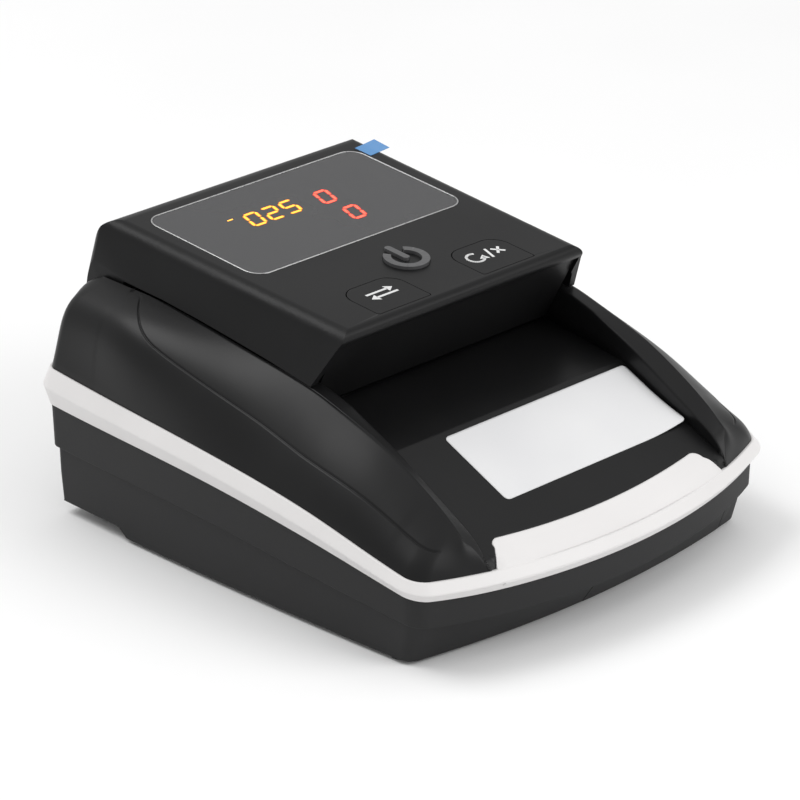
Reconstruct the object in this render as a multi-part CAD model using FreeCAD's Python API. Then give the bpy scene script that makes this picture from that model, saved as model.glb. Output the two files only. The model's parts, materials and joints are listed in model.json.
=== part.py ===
import FreeCAD, Part
import math
import os

os.makedirs("parts", exist_ok=True)

V = FreeCAD.Vector

# ---------------------------------------------------------------------------
# Driving dimensions, millimetres.  X is the width, the front faces -Y, Z is up.
# The machine stands on z = 0 and the origin is under the middle of its outline.
# ---------------------------------------------------------------------------

# Plan outline at the lower edge of the white belt
SIDE_HALF = 63.0          # half width at the widest place
SIDE_WIDEST_Y = 11.0      # where the sides are widest
SIDE_R = 1350.0           # the sides are very flat arcs
FRONT_Y = -72.4           # middle of the bowed front
FRONT_BOW = 11.3          # how far the front falls back at FRONT_BOW_X
FRONT_BOW_X = 58.5
REAR_Y = 72.4
REAR_R = 1600.0
FRONT_CORNER = 6.5
REAR_CORNER = 4.0
RING_STEPS = 10           # points on each long side of the belt's curves
CORNER_STEPS = 4
RIDGE_GROW = 1.9          # the belt's ridge stands this far proud

# Heights along the machine: pairs of (y, z)
BELT_LOW = [(-76, 17.9), (-66, 18.3), (-57.8, 19.7), (-22.7, 25.2), (12.6, 28.7), (65, 30.6), (76, 30.9)]
BELT_TOP = [(-76, 23.0), (-66, 23.3), (-55.5, 24.8), (-22.3, 32.2), (12.9, 36.6), (64.3, 40.3), (76, 41.1)]
STEP = [(-76, 10.2), (-66, 10.8), (-58.6, 11.8), (-21.5, 15.1), (14, 17.8), (60, 18.9), (76, 19.2)]
CREST = [(-67.5, 23.0), (-64.5, 27.6), (-60, 32.3), (-52.8, 37.6), (-41.2, 44.0), (-33.6, 47.4),
         (-21.5, 51.3), (-10, 54.4), (18, 58.7), (43, 61.8), (56, 62.6), (76, 62.8)]
WALL_TOP = [(-67.5, 22.0), (-64.9, 26.4), (-61, 30.4), (-55, 34.0), (-47, 38.4), (-35, 45.0),
            (-25.3, 49.4), (-14, 54.2), (-10, 54.4), (76, 62.8)]
CREST_X = 46.4            # the wings' crest, where the head's sides come down
LIP_REAR_Y = -63.0        # middle of the lip's rear edge
LIP_REAR_BOW = 2.6
LIP_HALF = 36.7
BAY_Y = 57.0              # the head's bay widens behind this
BED_HALF = 40.0           # opening for the lower guide plate
BED_FRONT = -3.0
BED_REAR = 64.0
WALL_X = 42.4             # inner faces of the tray walls

# Paper path
TRAY_SLOPE = 0.45         # rise per millimetre of the tray floor
LIP_FLOOR_Z = 26.0        # tray floor height at LIP_FLOOR_Y
LIP_FLOOR_Y = -64.0
CREASE_Y = -30.0          # the tray floor flattens out here
THROAT_Y = -4.0
PATH_Z = 45.0             # level bed under the head
PAPER_GAP = 1.2           # between the bed and the head's underside

# Shells
WALL = 2.0
FOOT_HEIGHT = 1.0
BASE_Z = FOOT_HEIGHT      # underside of the lower case
REAR_STEP_Y = 42.5        # where the underside steps up
REAR_RAISE = 2.4          # the rear of the underside is raised by this much

# Head
TOP_Z = 75.9              # top face height at TOP_Y
TOP_Y = 60.9
TOP_SLOPE = 0.0875
NOSE_Y = -18.4
FASCIA_Y = -15.6
FASCIA_Z = 65.2
HEAD_FRONT_FOOT = (-9.9, 54.8)
HEAD_REAR_Y = 70.4
HEAD_BASE_HALF = 46.5
SIDE_LEAN = 0.33          # the head's sides lean in this much per millimetre
HEAD_GAP = 0.4            # between the head's sides and the wings' crests
UNDER_Z = PATH_Z + PAPER_GAP
UNDER_HALF = 41.9         # the head's lower cover fits between the tray walls
UNDER_WALL = 1.6
UNDER_REAR = 62.0
HEAD_SCREW_X = 37.4
HEAD_SCREW_YS = (8.0, 56.5)
HEAD_LOW_Z = 51.0         # the head reaches down to here behind the bay's front
EAR_R = 5.0
HINGE_Y = 64.0
HINGE_Z = 55.0
HINGE_PIN_R = 1.5

# Drive
SHAFT_R = 2.0
ROLLER_R = 8.0
GEAR_MODULE = 0.7
PINION_TEETH = 12
IDLER_TEETH = 34
SHAFT_GEAR_TEETH = 24
MOTOR_Y = 33.0
MOTOR_Z = 14.6
MOTOR_R = 10.0
GEAR_X = 49.2             # inner faces of the gears
GEAR_WIDTH = 4.0
PLATE_X = 44.7            # inner faces of the two side plates
PLATE_THICK = 1.5
RUN = 0.04                # radial running clearance of every turning joint

MODULE_RADIUS = 0.5 * GEAR_MODULE
IDLER_Z = MOTOR_Z + MODULE_RADIUS * (PINION_TEETH + IDLER_TEETH)
SHAFT_Z = PATH_Z + 0.45 - ROLLER_R
SHAFT_REACH = MODULE_RADIUS * (IDLER_TEETH + SHAFT_GEAR_TEETH)
SHAFT_OFFSET = math.sqrt(SHAFT_REACH ** 2 - (SHAFT_Z - IDLER_Z) ** 2)
FRONT_SHAFT_Y = MOTOR_Y - SHAFT_OFFSET
REAR_SHAFT_Y = MOTOR_Y + SHAFT_OFFSET
ROLLER_XS = (-27.0, -9.0, 9.0, 27.0)
ROLLER_WIDTH = 8.0
PRESS_R = 5.0


# ---------------------------------------------------------------------------
# Helpers
# ---------------------------------------------------------------------------

def along(table, y):
    """Smooth height at y through a table of (y, z) pairs, by cubic Hermite pieces."""
    if y <= table[0][0]:
        return table[0][1]
    if y >= table[-1][0]:
        return table[-1][1]
    i = max(k for k in range(len(table) - 1) if table[k][0] <= y)
    slopes = []
    for k in (i, i + 1):
        a = table[max(k - 1, 0)]
        b = table[min(k + 1, len(table) - 1)]
        slopes.append((b[1] - a[1]) / (b[0] - a[0]))
    (y0, z0), (y1, z1) = table[i], table[i + 1]
    h = y1 - y0
    t = (y - y0) / h
    start = (1 + 2 * t) * (1 - t) ** 2 * z0 + t * (1 - t) ** 2 * h * slopes[0]
    return start + t * t * (3 - 2 * t) * z1 + t * t * (t - 1) * h * slopes[1]


def smooth(t):
    t = min(max(t, 0.0), 1.0)
    return t * t * (3 - 2 * t)


def circle_meet(c1, r1, c2, r2, near):
    """The point r1 from c1 and r2 from c2, the nearer to near of the two."""
    dx, dy = c2[0] - c1[0], c2[1] - c1[1]
    d = math.hypot(dx, dy)
    a = (r1 * r1 - r2 * r2 + d * d) / (2 * d)
    h = math.sqrt(r1 * r1 - a * a)
    both = [(c1[0] + (a * dx - k * dy) / d, c1[1] + (a * dy + k * dx) / d) for k in (h, -h)]
    return min(both, key=lambda p: math.dist(p, near))


def stretched(centre, point, radius):
    """Point at radius from centre, in the direction of point."""
    dx, dy = point[0] - centre[0], point[1] - centre[1]
    d = math.hypot(dx, dy)
    return centre[0] + dx * radius / d, centre[1] + dy * radius / d


def corner_points(grow, back=0.0, bow=FRONT_BOW):
    """Right half of the outline grown by grow: the ends and middles of its arcs, front to rear.

    back sets the front's middle back and bow says how far the front falls away at FRONT_BOW_X.
    """
    front_r = (FRONT_BOW_X ** 2 + bow ** 2) / (2 * bow) + grow
    front_c = (0.0, FRONT_Y + back - grow + front_r)
    side_r = SIDE_R + grow
    side_c = (SIDE_HALF - SIDE_R, SIDE_WIDEST_Y)
    rear_r = REAR_R + grow
    rear_c = (0.0, REAR_Y - REAR_R)
    corner_f = max(FRONT_CORNER + grow, 1.5)
    corner_r = max(REAR_CORNER + grow, 1.5)
    low = circle_meet(front_c, front_r - corner_f, side_c, side_r - corner_f, (SIDE_HALF, FRONT_Y))
    high = circle_meet(side_c, side_r - corner_r, rear_c, rear_r - corner_r, (SIDE_HALF, REAR_Y))
    a = stretched(front_c, low, front_r)
    c = stretched(side_c, low, side_r)
    b = stretched(low, (a[0] + c[0] - low[0], a[1] + c[1] - low[1]), corner_f)
    d = (side_c[0] + side_r, SIDE_WIDEST_Y)
    e = stretched(side_c, high, side_r)
    g = stretched(rear_c, high, rear_r)
    f = stretched(high, (e[0] + g[0] - high[0], e[1] + g[1] - high[1]), corner_r)
    return (0.0, FRONT_Y + back - grow), a, b, c, d, e, f, g, (0.0, REAR_Y + grow)


def outline(grow, z, back=0.0, bow=FRONT_BOW):
    """Closed level wire of eight arcs round the machine."""
    front, a, b, c, d, e, f, g, rear = corner_points(grow, back, bow)

    def at(p, side=1):
        return V(side * p[0], p[1], z)

    arcs = [(at(a, -1), at(front), at(a)), (at(a), at(b), at(c)), (at(c), at(d), at(e)),
            (at(e), at(f), at(g)),
            (at(g), at(rear), at(g, -1)), (at(g, -1), at(f, -1), at(e, -1)),
            (at(e, -1), at(d, -1), at(c, -1)),
            (at(c, -1), at(b, -1), at(a, -1))]
    return Part.Wire([Part.Arc(*arc).toShape() for arc in arcs])


def tapered(levels):
    """Solid through level outlines, each given as (z, grow, back, bow)."""
    return Part.makeLoft([outline(grow, z, back, bow) for z, grow, back, bow in levels], True, True)


def ring(grow, height):
    """Closed curve round the outline; height gives z for a plan point."""
    points = []
    for edge in outline(grow, 0.0).Edges:
        count = RING_STEPS if edge.Length > 30 else CORNER_STEPS
        for k in range(count):
            t = edge.FirstParameter + (edge.LastParameter - edge.FirstParameter) * k / count
            p = edge.valueAt(t)
            points.append(V(p.x, p.y, height(p.x, p.y)))
    curve = Part.BSplineCurve()
    params = [k / len(points) for k in range(len(points) + 1)]
    curve.interpolate(Points=points, PeriodicFlag=True, Parameters=params)
    return curve.toShape()


def solid_from(faces):
    shell = Part.Shell(faces)
    solid = Part.Solid(shell)
    if solid.Volume < 0:
        solid = Part.Solid(shell.reversed())
    return solid


def banded(curves):
    """Solid ring whose section joins the given closed curves in turn."""
    faces = []
    for first, second in zip(curves, curves[1:] + curves[:1]):
        faces.append(Part.makeRuledSurface(first, second))
    return solid_from(faces)


def side_profile(points, half):
    """Solid swept along X from a closed polygon of (y, z) points."""
    vectors = [V(-half, y, z) for y, z in points]
    face = Part.Face(Part.makePolygon(vectors + vectors[:1]))
    return face.extrude(V(2 * half, 0, 0))


def below(table, drop=0.0, half=90.0):
    """Everything under a height table, as a solid swept along X."""
    first, last = table[0][0], table[-1][0]
    count = 24
    points = []
    for k in range(count + 1):
        y = first + (last - first) * k / count
        points.append(V(-half, y, along(table, y) - drop))
    top = Part.BSplineCurve()
    top.interpolate(points)
    floor = -20.0
    corner_a = V(-half, last, floor)
    corner_b = V(-half, first, floor)
    wire = Part.Wire([top.toShape(), Part.makeLine(points[-1], corner_a),
                      Part.makeLine(corner_a, corner_b), Part.makeLine(corner_b, points[0])])
    return Part.Face(wire).extrude(V(2 * half, 0, 0))


def box(x0, x1, y0, y1, z0, z1):
    return Part.makeBox(x1 - x0, y1 - y0, z1 - z0, V(x0, y0, z0))


def rod(radius, x0, x1, y, z):
    """Cylinder along X."""
    return Part.makeCylinder(radius, x1 - x0, V(x0, y, z), V(1, 0, 0))


def post(radius, x, y, z0, z1):
    """Upright cylinder."""
    return Part.makeCylinder(radius, z1 - z0, V(x, y, z0))


def tube(outer, inner, x0, x1, y, z):
    return rod(outer, x0, x1, y, z).cut(rod(inner, x0 - 1, x1 + 1, y, z))


def fuse(shapes):
    result = shapes[0]
    for shape in shapes[1:]:
        result = result.fuse(shape)
    return result.removeSplitter()


def cut(shape, tools):
    for tool in tools:
        shape = shape.cut(tool)
    return shape


def group(shapes):
    """Separate solids that share one node."""
    return Part.makeCompound(shapes)


NODES = {}


def node(name, shape):
    solids = shape.Solids
    if not solids or not all(s.isValid() and s.isClosed() for s in solids):
        raise RuntimeError(name + " is not made of valid closed solids")
    NODES[name] = shape


# ---------------------------------------------------------------------------
# Case: lower case, belt with lip, upper case
# ---------------------------------------------------------------------------

SEAM = 0.15               # open line between two shells

BAY_HALF = HEAD_BASE_HALF + 0.4
DOOR_LEFT = -5.0
DOOR_RIGHT = 50.0
DOOR_REAR = -27.0
DOOR_TOP = 10.1
BAY_TOP = 19.5            # walls round the battery
SCREW_R = 1.2
SCREW_SEAT = 5.5
SCREW_POSTS = [(-53.4, -38.0, 24.0), (53.4, -38.0, 24.0), (-53.0, 64.8, 33.0), (53.0, 64.8, 33.0)]
BOARD_Z = 8.0
BOARD_THICK = 1.6
BOARD_POSTS = [(-34.0, -15.0), (6.0, -15.0), (-34.0, 36.0), (6.0, 36.0)]
PORT_Z = 7.4
PORT_POSTS = [(-32.0, 60.0), (32.0, 60.0)]
TAB_Z = 6.5
TAB_POSTS = [(-42.0, 6.0), (42.0, 6.0), (-42.0, 57.0), (42.0, 57.0)]
FEET = [(-54.0, -50.0, 3.8), (54.0, -50.0, 3.8), (-51.0, 33.0, 5.0), (51.0, 33.0, 5.0)]
FOOT_SUNK = 0.8
JACK_X = 24.0
JACK_Z = 14.0
USB_X = -24.0
PIN_OUT = 48.6            # outer ends of the hinge pins

# Lower step of the case: (z, grow, set-back of the front's middle, bow of the front)
CHIN_LEVELS = [(BASE_Z, -2.6, 8.0, 6.0), (11.5, -1.9, 1.6, 10.4), (30.0, -1.4, 0.6, 11.0)]
# Upper step, up to the belt
BODY_LEVELS = [(8.0, -0.9, 0.0, 11.3), (36.0, 0.05, 0.0, 11.3)]


def inner_levels(levels, floor):
    """The same levels inset by the wall, with the lowest raised by floor."""
    result = []
    for k, (z, grow, back, bow) in enumerate(levels):
        result.append((z + (floor if k == 0 else 0.0), grow - WALL, back, bow))
    return result


def lower_form():
    """Outer form of the lower case."""
    upper = tapered(BODY_LEVELS).cut(below(STEP))
    return tapered(CHIN_LEVELS).fuse(upper).common(below(BELT_LOW, SEAM)).cut(rear_step())


def lower_hollow():
    """Space inside the lower case."""
    upper = tapered(inner_levels(BODY_LEVELS, 0.0)).cut(below(STEP, -WALL))
    lower = tapered(inner_levels(CHIN_LEVELS, WALL))
    deck = box(-80, 80, REAR_STEP_Y - WALL, 90, -5, BASE_Z + REAR_RAISE + WALL)
    return lower.fuse(upper).cut(deck)


def rear_step():
    """Space under the raised rear of the base, with a sloping front."""
    run = 5.0
    low = BASE_Z - 5
    high = BASE_Z + REAR_RAISE
    return side_profile([(REAR_STEP_Y - 5, low), (REAR_STEP_Y, BASE_Z), (REAR_STEP_Y + 1.2, BASE_Z + 0.2),
                         (REAR_STEP_Y + run - 1.2, high - 0.2), (REAR_STEP_Y + run, high), (90, high),
                         (90, low)], 90)


def floor_z(y):
    """Height of the tray floor and the bed behind it."""
    if y < CREASE_Y:
        return LIP_FLOOR_Z + TRAY_SLOPE * (y - LIP_FLOOR_Y)
    crease = LIP_FLOOR_Z + TRAY_SLOPE * (CREASE_Y - LIP_FLOOR_Y)
    t = min((y - CREASE_Y) / (THROAT_Y - CREASE_Y), 1.0)
    return crease + t * (PATH_Z - crease)


def floor_region(half, drop, front=-90.0, rear=90.0):
    """Space above the tray floor and bed, between two side planes."""
    ys = [front, CREASE_Y, THROAT_Y, rear]
    return side_profile([(y, floor_z(y) - drop) for y in ys] + [(rear, 110), (front, 110)], half)


def lip_plan(grow, z0, z1):
    """Upright solid over the lip's plan: bowed rear edge, round corners, flared sides."""
    rear_y = LIP_REAR_Y + grow
    side_y = rear_y + LIP_REAR_BOW
    half = LIP_HALF + grow
    flare = 3.4
    r = 2.2

    def at(x, y):
        return V(x, y, z0)

    pieces = [Part.Arc(at(-half + r, side_y), at(0, rear_y), at(half - r, side_y)).toShape(),
              Part.Arc(at(half - r, side_y), at(half - 0.45, side_y - 0.75),
                       at(half + 0.3, side_y - r)).toShape(),
              Part.makeLine(at(half + 0.3, side_y - r), at(half + flare, -66.4)),
              Part.makeLine(at(half + flare, -66.4), at(half + flare + 1.5, -90)),
              Part.makeLine(at(half + flare + 1.5, -90), at(-half - flare - 1.5, -90)),
              Part.makeLine(at(-half - flare - 1.5, -90), at(-half - flare, -66.4)),
              Part.makeLine(at(-half - flare, -66.4), at(-half - 0.3, side_y - r)),
              Part.Arc(at(-half - 0.3, side_y - r), at(-half + 0.45, side_y - 0.75),
                       at(-half + r, side_y)).toShape()]
    return Part.Face(Part.Wire(pieces)).extrude(V(0, 0, z1 - z0))


def lip():
    """Front lip: follows the tray floor, then rolls over to the belt's ridge."""
    front_r = (FRONT_BOW_X ** 2 + FRONT_BOW ** 2) / (2 * FRONT_BOW)
    axis = V(0, FRONT_Y + front_r, 0)
    low = BELT_LOW[0][1]
    mid = (BELT_LOW[0][1] + BELT_TOP[0][1]) / 2

    def at(inward, z):
        return V(0, FRONT_Y + inward, z)

    edge = [at(0.1, low + 0.4), at(-RIDGE_GROW, mid), at(4.4, 25.4), at(20, 33.0), at(20, low + 0.4)]
    roll = Part.Arc(edge[1], at(0.2, 23.7), edge[2]).toShape()
    wire = Part.Wire([Part.makeLine(edge[0], edge[1]), roll, Part.makeLine(edge[2], edge[3]),
                      Part.makeLine(edge[3], edge[4]), Part.makeLine(edge[4], edge[0])])
    sweep = 20.0
    face = Part.Face(wire)
    face.rotate(axis, V(0, 0, 1), -sweep)
    solid = face.revolve(axis, V(0, 0, 1), 2 * sweep)
    under = side_profile([(-90, floor_z(-90) + 0.2), (-50, floor_z(-50) + 0.2), (-50, 0), (-90, 0)], 90)
    return solid.common(under).common(lip_plan(-SEAM, 10, 40))


def belt():
    """White belt round the machine, with its ridge, and the lip in front."""
    def low(x, y):
        return along(BELT_LOW, y)

    def top(x, y):
        return along(BELT_TOP, y)

    def mid(x, y):
        return (low(x, y) + top(x, y)) / 2

    band = banded([ring(0.25, low), ring(RIDGE_GROW, mid), ring(0.1, top), ring(-WALL, top),
                   ring(-WALL, low)])
    return band.fuse(lip())


def wing_section(y, inset):
    """Closed section of the upper case's outer form at y, made of eight edges."""
    base = -10.0
    blend = smooth((y + 15) / 65)
    half = SIDE_HALF - 0.4 - (y - SIDE_WIDEST_Y) ** 2 / (2 * SIDE_R) - inset
    foot = along(BELT_TOP, y) - 0.3
    crest = along(CREST, y) - inset
    ledge = min(along(WALL_TOP, y), along(CREST, y)) - inset
    inner = CREST_X - 0.6 * inset
    reach = math.hypot(half - inner, crest - foot)
    rise = math.radians(62 + 27 * blend)
    fall = math.radians(43 - 39 * blend)
    pull = reach * (0.33 + 0.2 * blend)
    poles = [(half, foot), (half - pull * math.cos(rise), foot + pull * math.sin(rise)),
             (inner + pull * math.cos(fall), crest - pull * math.sin(fall)), (inner, crest)]

    def at(x, z):
        return V(x, y, z)

    def curve(side):
        """The wing's dome from belt to crest, as short straight runs."""
        bezier = Part.BezierCurve()
        bezier.setPoles([at(side * x, z) for x, z in poles])
        points = [bezier.value(k / WING_RUNS) for k in range(WING_RUNS + 1)]
        points = points if side > 0 else points[::-1]
        return [Part.makeLine(a, b) for a, b in zip(points, points[1:])]

    wall = WALL_X - 0.5
    edges = [Part.makeLine(at(-half, base), at(half, base)), Part.makeLine(at(half, base), at(half, foot)),
             *curve(1),
             Part.makeLine(at(inner, crest), at(wall, ledge)),
             Part.makeLine(at(wall, ledge), at(-wall, ledge)),
             Part.makeLine(at(-wall, ledge), at(-inner, crest)), *curve(-1),
             Part.makeLine(at(-half, foot), at(-half, base))]
    return Part.Wire(edges)


WING_RUNS = 5             # straight runs across each wing
WING_YS = [-78, -67, -63, -59, -54, -48, -41, -34, -27, -20, -12, -4, 6, 18, 30, 43, 58, 78]
WING_LEVELS = [(10.0, -0.3, 0.0, 11.3), (70.0, -2.2, 0.0, 11.3)]


def upper_form(inset):
    """Outer form of the upper case, or its hollow when inset."""
    wings = Part.makeLoft([wing_section(y, inset) for y in WING_YS], True, True)
    levels = [(z, grow - inset, back, bow) for z, grow, back, bow in WING_LEVELS]
    plan = tapered(levels)
    rear = 73.0 - inset
    top = 66.0 - inset

    def at(y, z):
        return V(-90, y, z)

    dome = Part.Arc(at(rear, 44), at(rear - 4.2, top - 7.0), at(rear - 17, top)).toShape()
    wire = Part.Wire([dome, Part.makeLine(at(rear - 17, top), at(-90, top)),
                      Part.makeLine(at(-90, top), at(-90, -5)),
                      Part.makeLine(at(-90, -5), at(rear, -5)), Part.makeLine(at(rear, -5), at(rear, 44))])
    return wings.common(plan).common(Part.Face(wire).extrude(V(180, 0, 0)))


def upper_case():
    """Black upper case: two wings, the tray between them and the bay for the head."""
    outer = upper_form(0.0).cut(floor_region(WALL_X, 0.0)).cut(box(-BAY_HALF, BAY_HALF, BAY_Y, 90, PATH_Z,
                                                                   110))
    hollow = upper_form(WALL).cut(floor_region(WALL_X + WALL, WALL))
    hollow = hollow.cut(box(-BAY_HALF - WALL, BAY_HALF + WALL, BAY_Y - WALL, 90, PATH_Z - WALL, 110))
    case = outer.cut(hollow).cut(below(BELT_TOP, -SEAM)).cut(lip_plan(0.0, 0, 60))
    case = case.cut(box(-BED_HALF, BED_HALF, BED_FRONT, BED_REAR, PATH_Z - 6, PATH_Z + 6))
    solid = upper_form(0.6)
    for x, y, z in SCREW_POSTS:
        case = case.fuse(post(3.0, x, y, z, 70).common(solid)).cut(post(SCREW_R, x, y, z - 1, z + 9))
    for side in (1, -1):
        case = case.cut(rod(HINGE_PIN_R, *sorted((side * 46, side * PIN_OUT)), HINGE_Y, HINGE_Z))
    return case.removeSplitter()


def door_region(gap):
    """Straight run along Y that holds the battery door; gap draws it in."""
    plate = box(DOOR_LEFT + gap, DOOR_RIGHT - gap, -90, DOOR_REAR - gap, -5, DOOR_TOP - gap)
    edges = [e for e in plate.Edges if min(v.Z for v in e.Vertexes) > 5
             and abs(e.Vertexes[0].X - e.Vertexes[-1].X) < 1]
    return plate.makeFillet(3.0, [e for e in edges if abs(e.Vertexes[0].Y - e.Vertexes[-1].Y) > 1])


def lower_shell():
    return lower_form().cut(lower_hollow())


def battery_door(shell):
    """L-shaped door: part of the chin's front and of the underside, with a tongue behind."""
    tongue = box(8, 38, DOOR_REAR - 3, DOOR_REAR + 1.5, BASE_Z + WALL + 0.05, BASE_Z + WALL + 1.05)
    neck = box(8, 38, DOOR_REAR - 3, DOOR_REAR - 0.5, BASE_Z + 1, BASE_Z + WALL + 1.05)
    return shell.common(door_region(0.08)).fuse(neck).fuse(tongue).removeSplitter()


def standing(y):
    """Height inside the floor where a post can start."""
    return BASE_Z + WALL - 0.5 + (REAR_RAISE if y > REAR_STEP_Y else 0)


def lower_case(shell):
    """Grey lower case with the battery bay, screw posts, board posts and inlets."""
    floor = BASE_Z + WALL
    case = shell.cut(door_region(0.0))
    bay = box(DOOR_LEFT - 1.8, DOOR_RIGHT + 1.8, -54, DOOR_REAR + 3.5, floor - 0.5, BAY_TOP)
    bay = bay.cut(box(DOOR_LEFT - 0.3, DOOR_RIGHT + 0.3, -60, DOOR_REAR + 2.0, 0, 40))
    case = case.fuse(bay)
    for x, y, z in SCREW_POSTS:
        case = case.fuse(post(3.0, x, y, standing(y), z - 0.05))
    for x, y in BOARD_POSTS:
        case = case.fuse(post(2.4, x, y, floor - 0.5, BOARD_Z)).cut(post(0.9, x, y, floor + 1, BOARD_Z + 1))
    for x, y in PORT_POSTS:
        case = case.fuse(post(2.4, x, y, floor + 1, PORT_Z)).cut(post(0.9, x, y, floor + 3, PORT_Z + 1))
    for x, y in TAB_POSTS:
        case = case.fuse(post(2.6, x, y, standing(y), TAB_Z)).cut(post(0.9, x, y, floor + 1, TAB_Z + 1))
    for x, y, z in SCREW_POSTS:
        case = case.cut(post(SCREW_R, x, y, -5, 60)).cut(post(2.6, x, y, -5, SCREW_SEAT))
    for x, y, r in FEET:
        case = case.cut(post(r, x, y, -1, BASE_Z + FOOT_SUNK))
    jack = Part.makeCylinder(3.8, 10, V(JACK_X, 64, JACK_Z), V(0, 1, 0))
    port = box(USB_X - 4.8, USB_X + 4.8, 64, 75, PORT_Z + 1.4, PORT_Z + 5.4)
    return case.cut(jack).cut(port).removeSplitter()


# ---------------------------------------------------------------------------
# Head: covers, display, buttons
# ---------------------------------------------------------------------------

TILT = math.degrees(math.atan(TOP_SLOPE))


def top_z(y):
    return TOP_Z + TOP_SLOPE * (y - TOP_Y)


def on_top(shape):
    """Put a shape drawn about the display's rear edge, with w up, onto the tilted top face."""
    placed = shape.copy()
    placed.rotate(V(0, 0, 0), V(1, 0, 0), TILT)
    placed.translate(V(0, TOP_Y, TOP_Z))
    return placed


def on_slope(y):
    """Distance along the top face for a place y."""
    return (y - TOP_Y) / math.cos(math.radians(TILT))


def rounded_plate(x0, x1, y0, y1, w0, w1, radii):
    """Plate with its own radius at each corner: front left, front right, rear right, rear left."""
    plate = box(x0, x1, y0, y1, w0, w1)
    for (x, y), r in zip(((x0, y0), (x1, y0), (x1, y1), (x0, y1)), radii):
        if r > 0:
            edges = [e for e in plate.Edges if e.Length > 0 and abs(e.Vertexes[0].X - x) < 1e-6
                     and abs(e.Vertexes[-1].X - x) < 1e-6 and abs(e.Vertexes[0].Y - y) < 1e-6
                     and abs(e.Vertexes[-1].Y - y) < 1e-6]
            plate = plate.makeFillet(r, edges)
    return plate


def rounded_wire(corners, place):
    """Closed wire through corners (u, v, radius), each rounded by its radius."""
    ends = []
    for k, (u, v, r) in enumerate(corners):
        before = corners[k - 1]
        after = corners[(k + 1) % len(corners)]
        if r == 0:
            ends.append(((u, v), None, (u, v)))
            continue
        a = (before[0] - u, before[1] - v)
        b = (after[0] - u, after[1] - v)
        la, lb = math.hypot(*a), math.hypot(*b)
        a, b = (a[0] / la, a[1] / la), (b[0] / lb, b[1] / lb)
        half = math.acos(a[0] * b[0] + a[1] * b[1]) / 2
        reach = r / math.tan(half)
        drop = r / math.sin(half) - r
        way = (a[0] + b[0], a[1] + b[1])
        length = math.hypot(*way)
        ends.append(((u + a[0] * reach, v + a[1] * reach),
                     (u + way[0] * drop / length, v + way[1] * drop / length),
                     (u + b[0] * reach, v + b[1] * reach)))
    edges = []
    for k, (start, middle, end) in enumerate(ends):
        if middle:
            edges.append(Part.Arc(place(*start), place(*middle), place(*end)).toShape())
        following = ends[(k + 1) % len(ends)][0]
        edges.append(Part.makeLine(place(*end), place(*following)))
    return Part.Wire(edges)


def junction_z(y):
    """Height of the line where the head's sides meet the wings."""
    base_y, base_z = HEAD_FRONT_FOOT
    return base_z + (along(CREST, 43) - along(CREST, base_y)) / (43 - base_y) * (y - base_y)


def head_section(y, inset):
    """Cross-section of the head: leaning sides and a flat top with rounded edges."""
    low = 10.0
    top = top_z(y) - inset

    def half_at(z):
        return HEAD_BASE_HALF - inset - SIDE_LEAN * (z - junction_z(y))

    r = max(TOP_EDGE_R - inset, 0.6)
    corners = [(half_at(low), low, 0), (half_at(top), top, r), (-half_at(top), top, r),
               (-half_at(low), low, 0)]
    return rounded_wire(corners, lambda x, z: V(x, y, z))


TOP_EDGE_R = 4.2
REAR_EDGE_R = 4.5
EAR_CORNER = 4.0          # lets the ears swing clear of the bay's front step


def head_plan(z, inset):
    """Level section that rounds the head's rear corners and leaves the rest alone."""
    rear = HEAD_REAR_Y + 1.7 - inset
    side_y = rear - REAR_EDGE_R
    half = HEAD_BASE_HALF - inset - SIDE_LEAN * (z - junction_z(side_y))
    wide = half + 4.0
    corners = [(-wide, -40, 0), (wide, -40, 0), (half, rear, REAR_EDGE_R - inset),
               (-half, rear, REAR_EDGE_R - inset)]
    return rounded_wire(corners, lambda x, y: V(x, y, z))


def head_form(inset):
    """Outer form of the head above the wings; inset gives its hollow."""
    foot_y, foot_z = HEAD_FRONT_FOOT
    lower = -30 if inset else 0
    corners = [(NOSE_Y + inset, top_z(NOSE_Y) - inset, 2.0 if inset == 0 else 0.4),
               (FASCIA_Y + inset, FASCIA_Z + 0.4 * inset, 0), (foot_y + inset, foot_z + lower, 0)]
    for y in (5, 18, 30, 43, BAY_Y + 0.5):
        corners.append((y, along(CREST, y) + HEAD_GAP + lower, 0))
    rear_y = HEAD_REAR_Y - 0.6 - inset
    corners += [(BAY_Y + 0.5, HEAD_LOW_Z + lower, 0 if inset else EAR_CORNER),
                (HEAD_REAR_Y + 1.2 - inset, HEAD_LOW_Z + lower, 0),
                (HEAD_REAR_Y + 1.6 - inset, 60.0, 0), (rear_y, top_z(rear_y) - inset, 7.0 - inset)]
    half = HEAD_BASE_HALF - inset
    face = Part.Face(rounded_wire(corners, lambda y, z: V(-half, y, z)))
    across = Part.makeLoft([head_section(-40, inset), head_section(100, inset)], True, True)
    corners = Part.makeLoft([head_plan(10, inset), head_plan(95, inset)], True, True)
    return face.extrude(V(2 * half, 0, 0)).common(across).common(corners)


def near_edges(solid, test):
    found = []
    for edge in solid.Edges:
        a = edge.Vertexes[0].Point
        b = edge.Vertexes[-1].Point
        if edge.Length > 0.5 and test(a, b):
            found.append(edge)
    return found


KEY_IN = 9.35             # the keys reach from here to KEY_OUT, left and right
KEY_OUT = 27.3
KEY_FRONT = on_slope(-14.0)
KEY_REAR = on_slope(0.1)
KEY_GAP = 0.2
KEY_TRAVEL = 0.6
SYMBOL_Y = on_slope(3.9)
SYMBOL_R = 5.9
SYMBOL_WIDTH = 2.0
SYMBOL_UP = 0.8
WINDOW_HALF = 36.8
WINDOW_FRONT = on_slope(18.8)
WINDOW_THICK = 1.2


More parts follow.
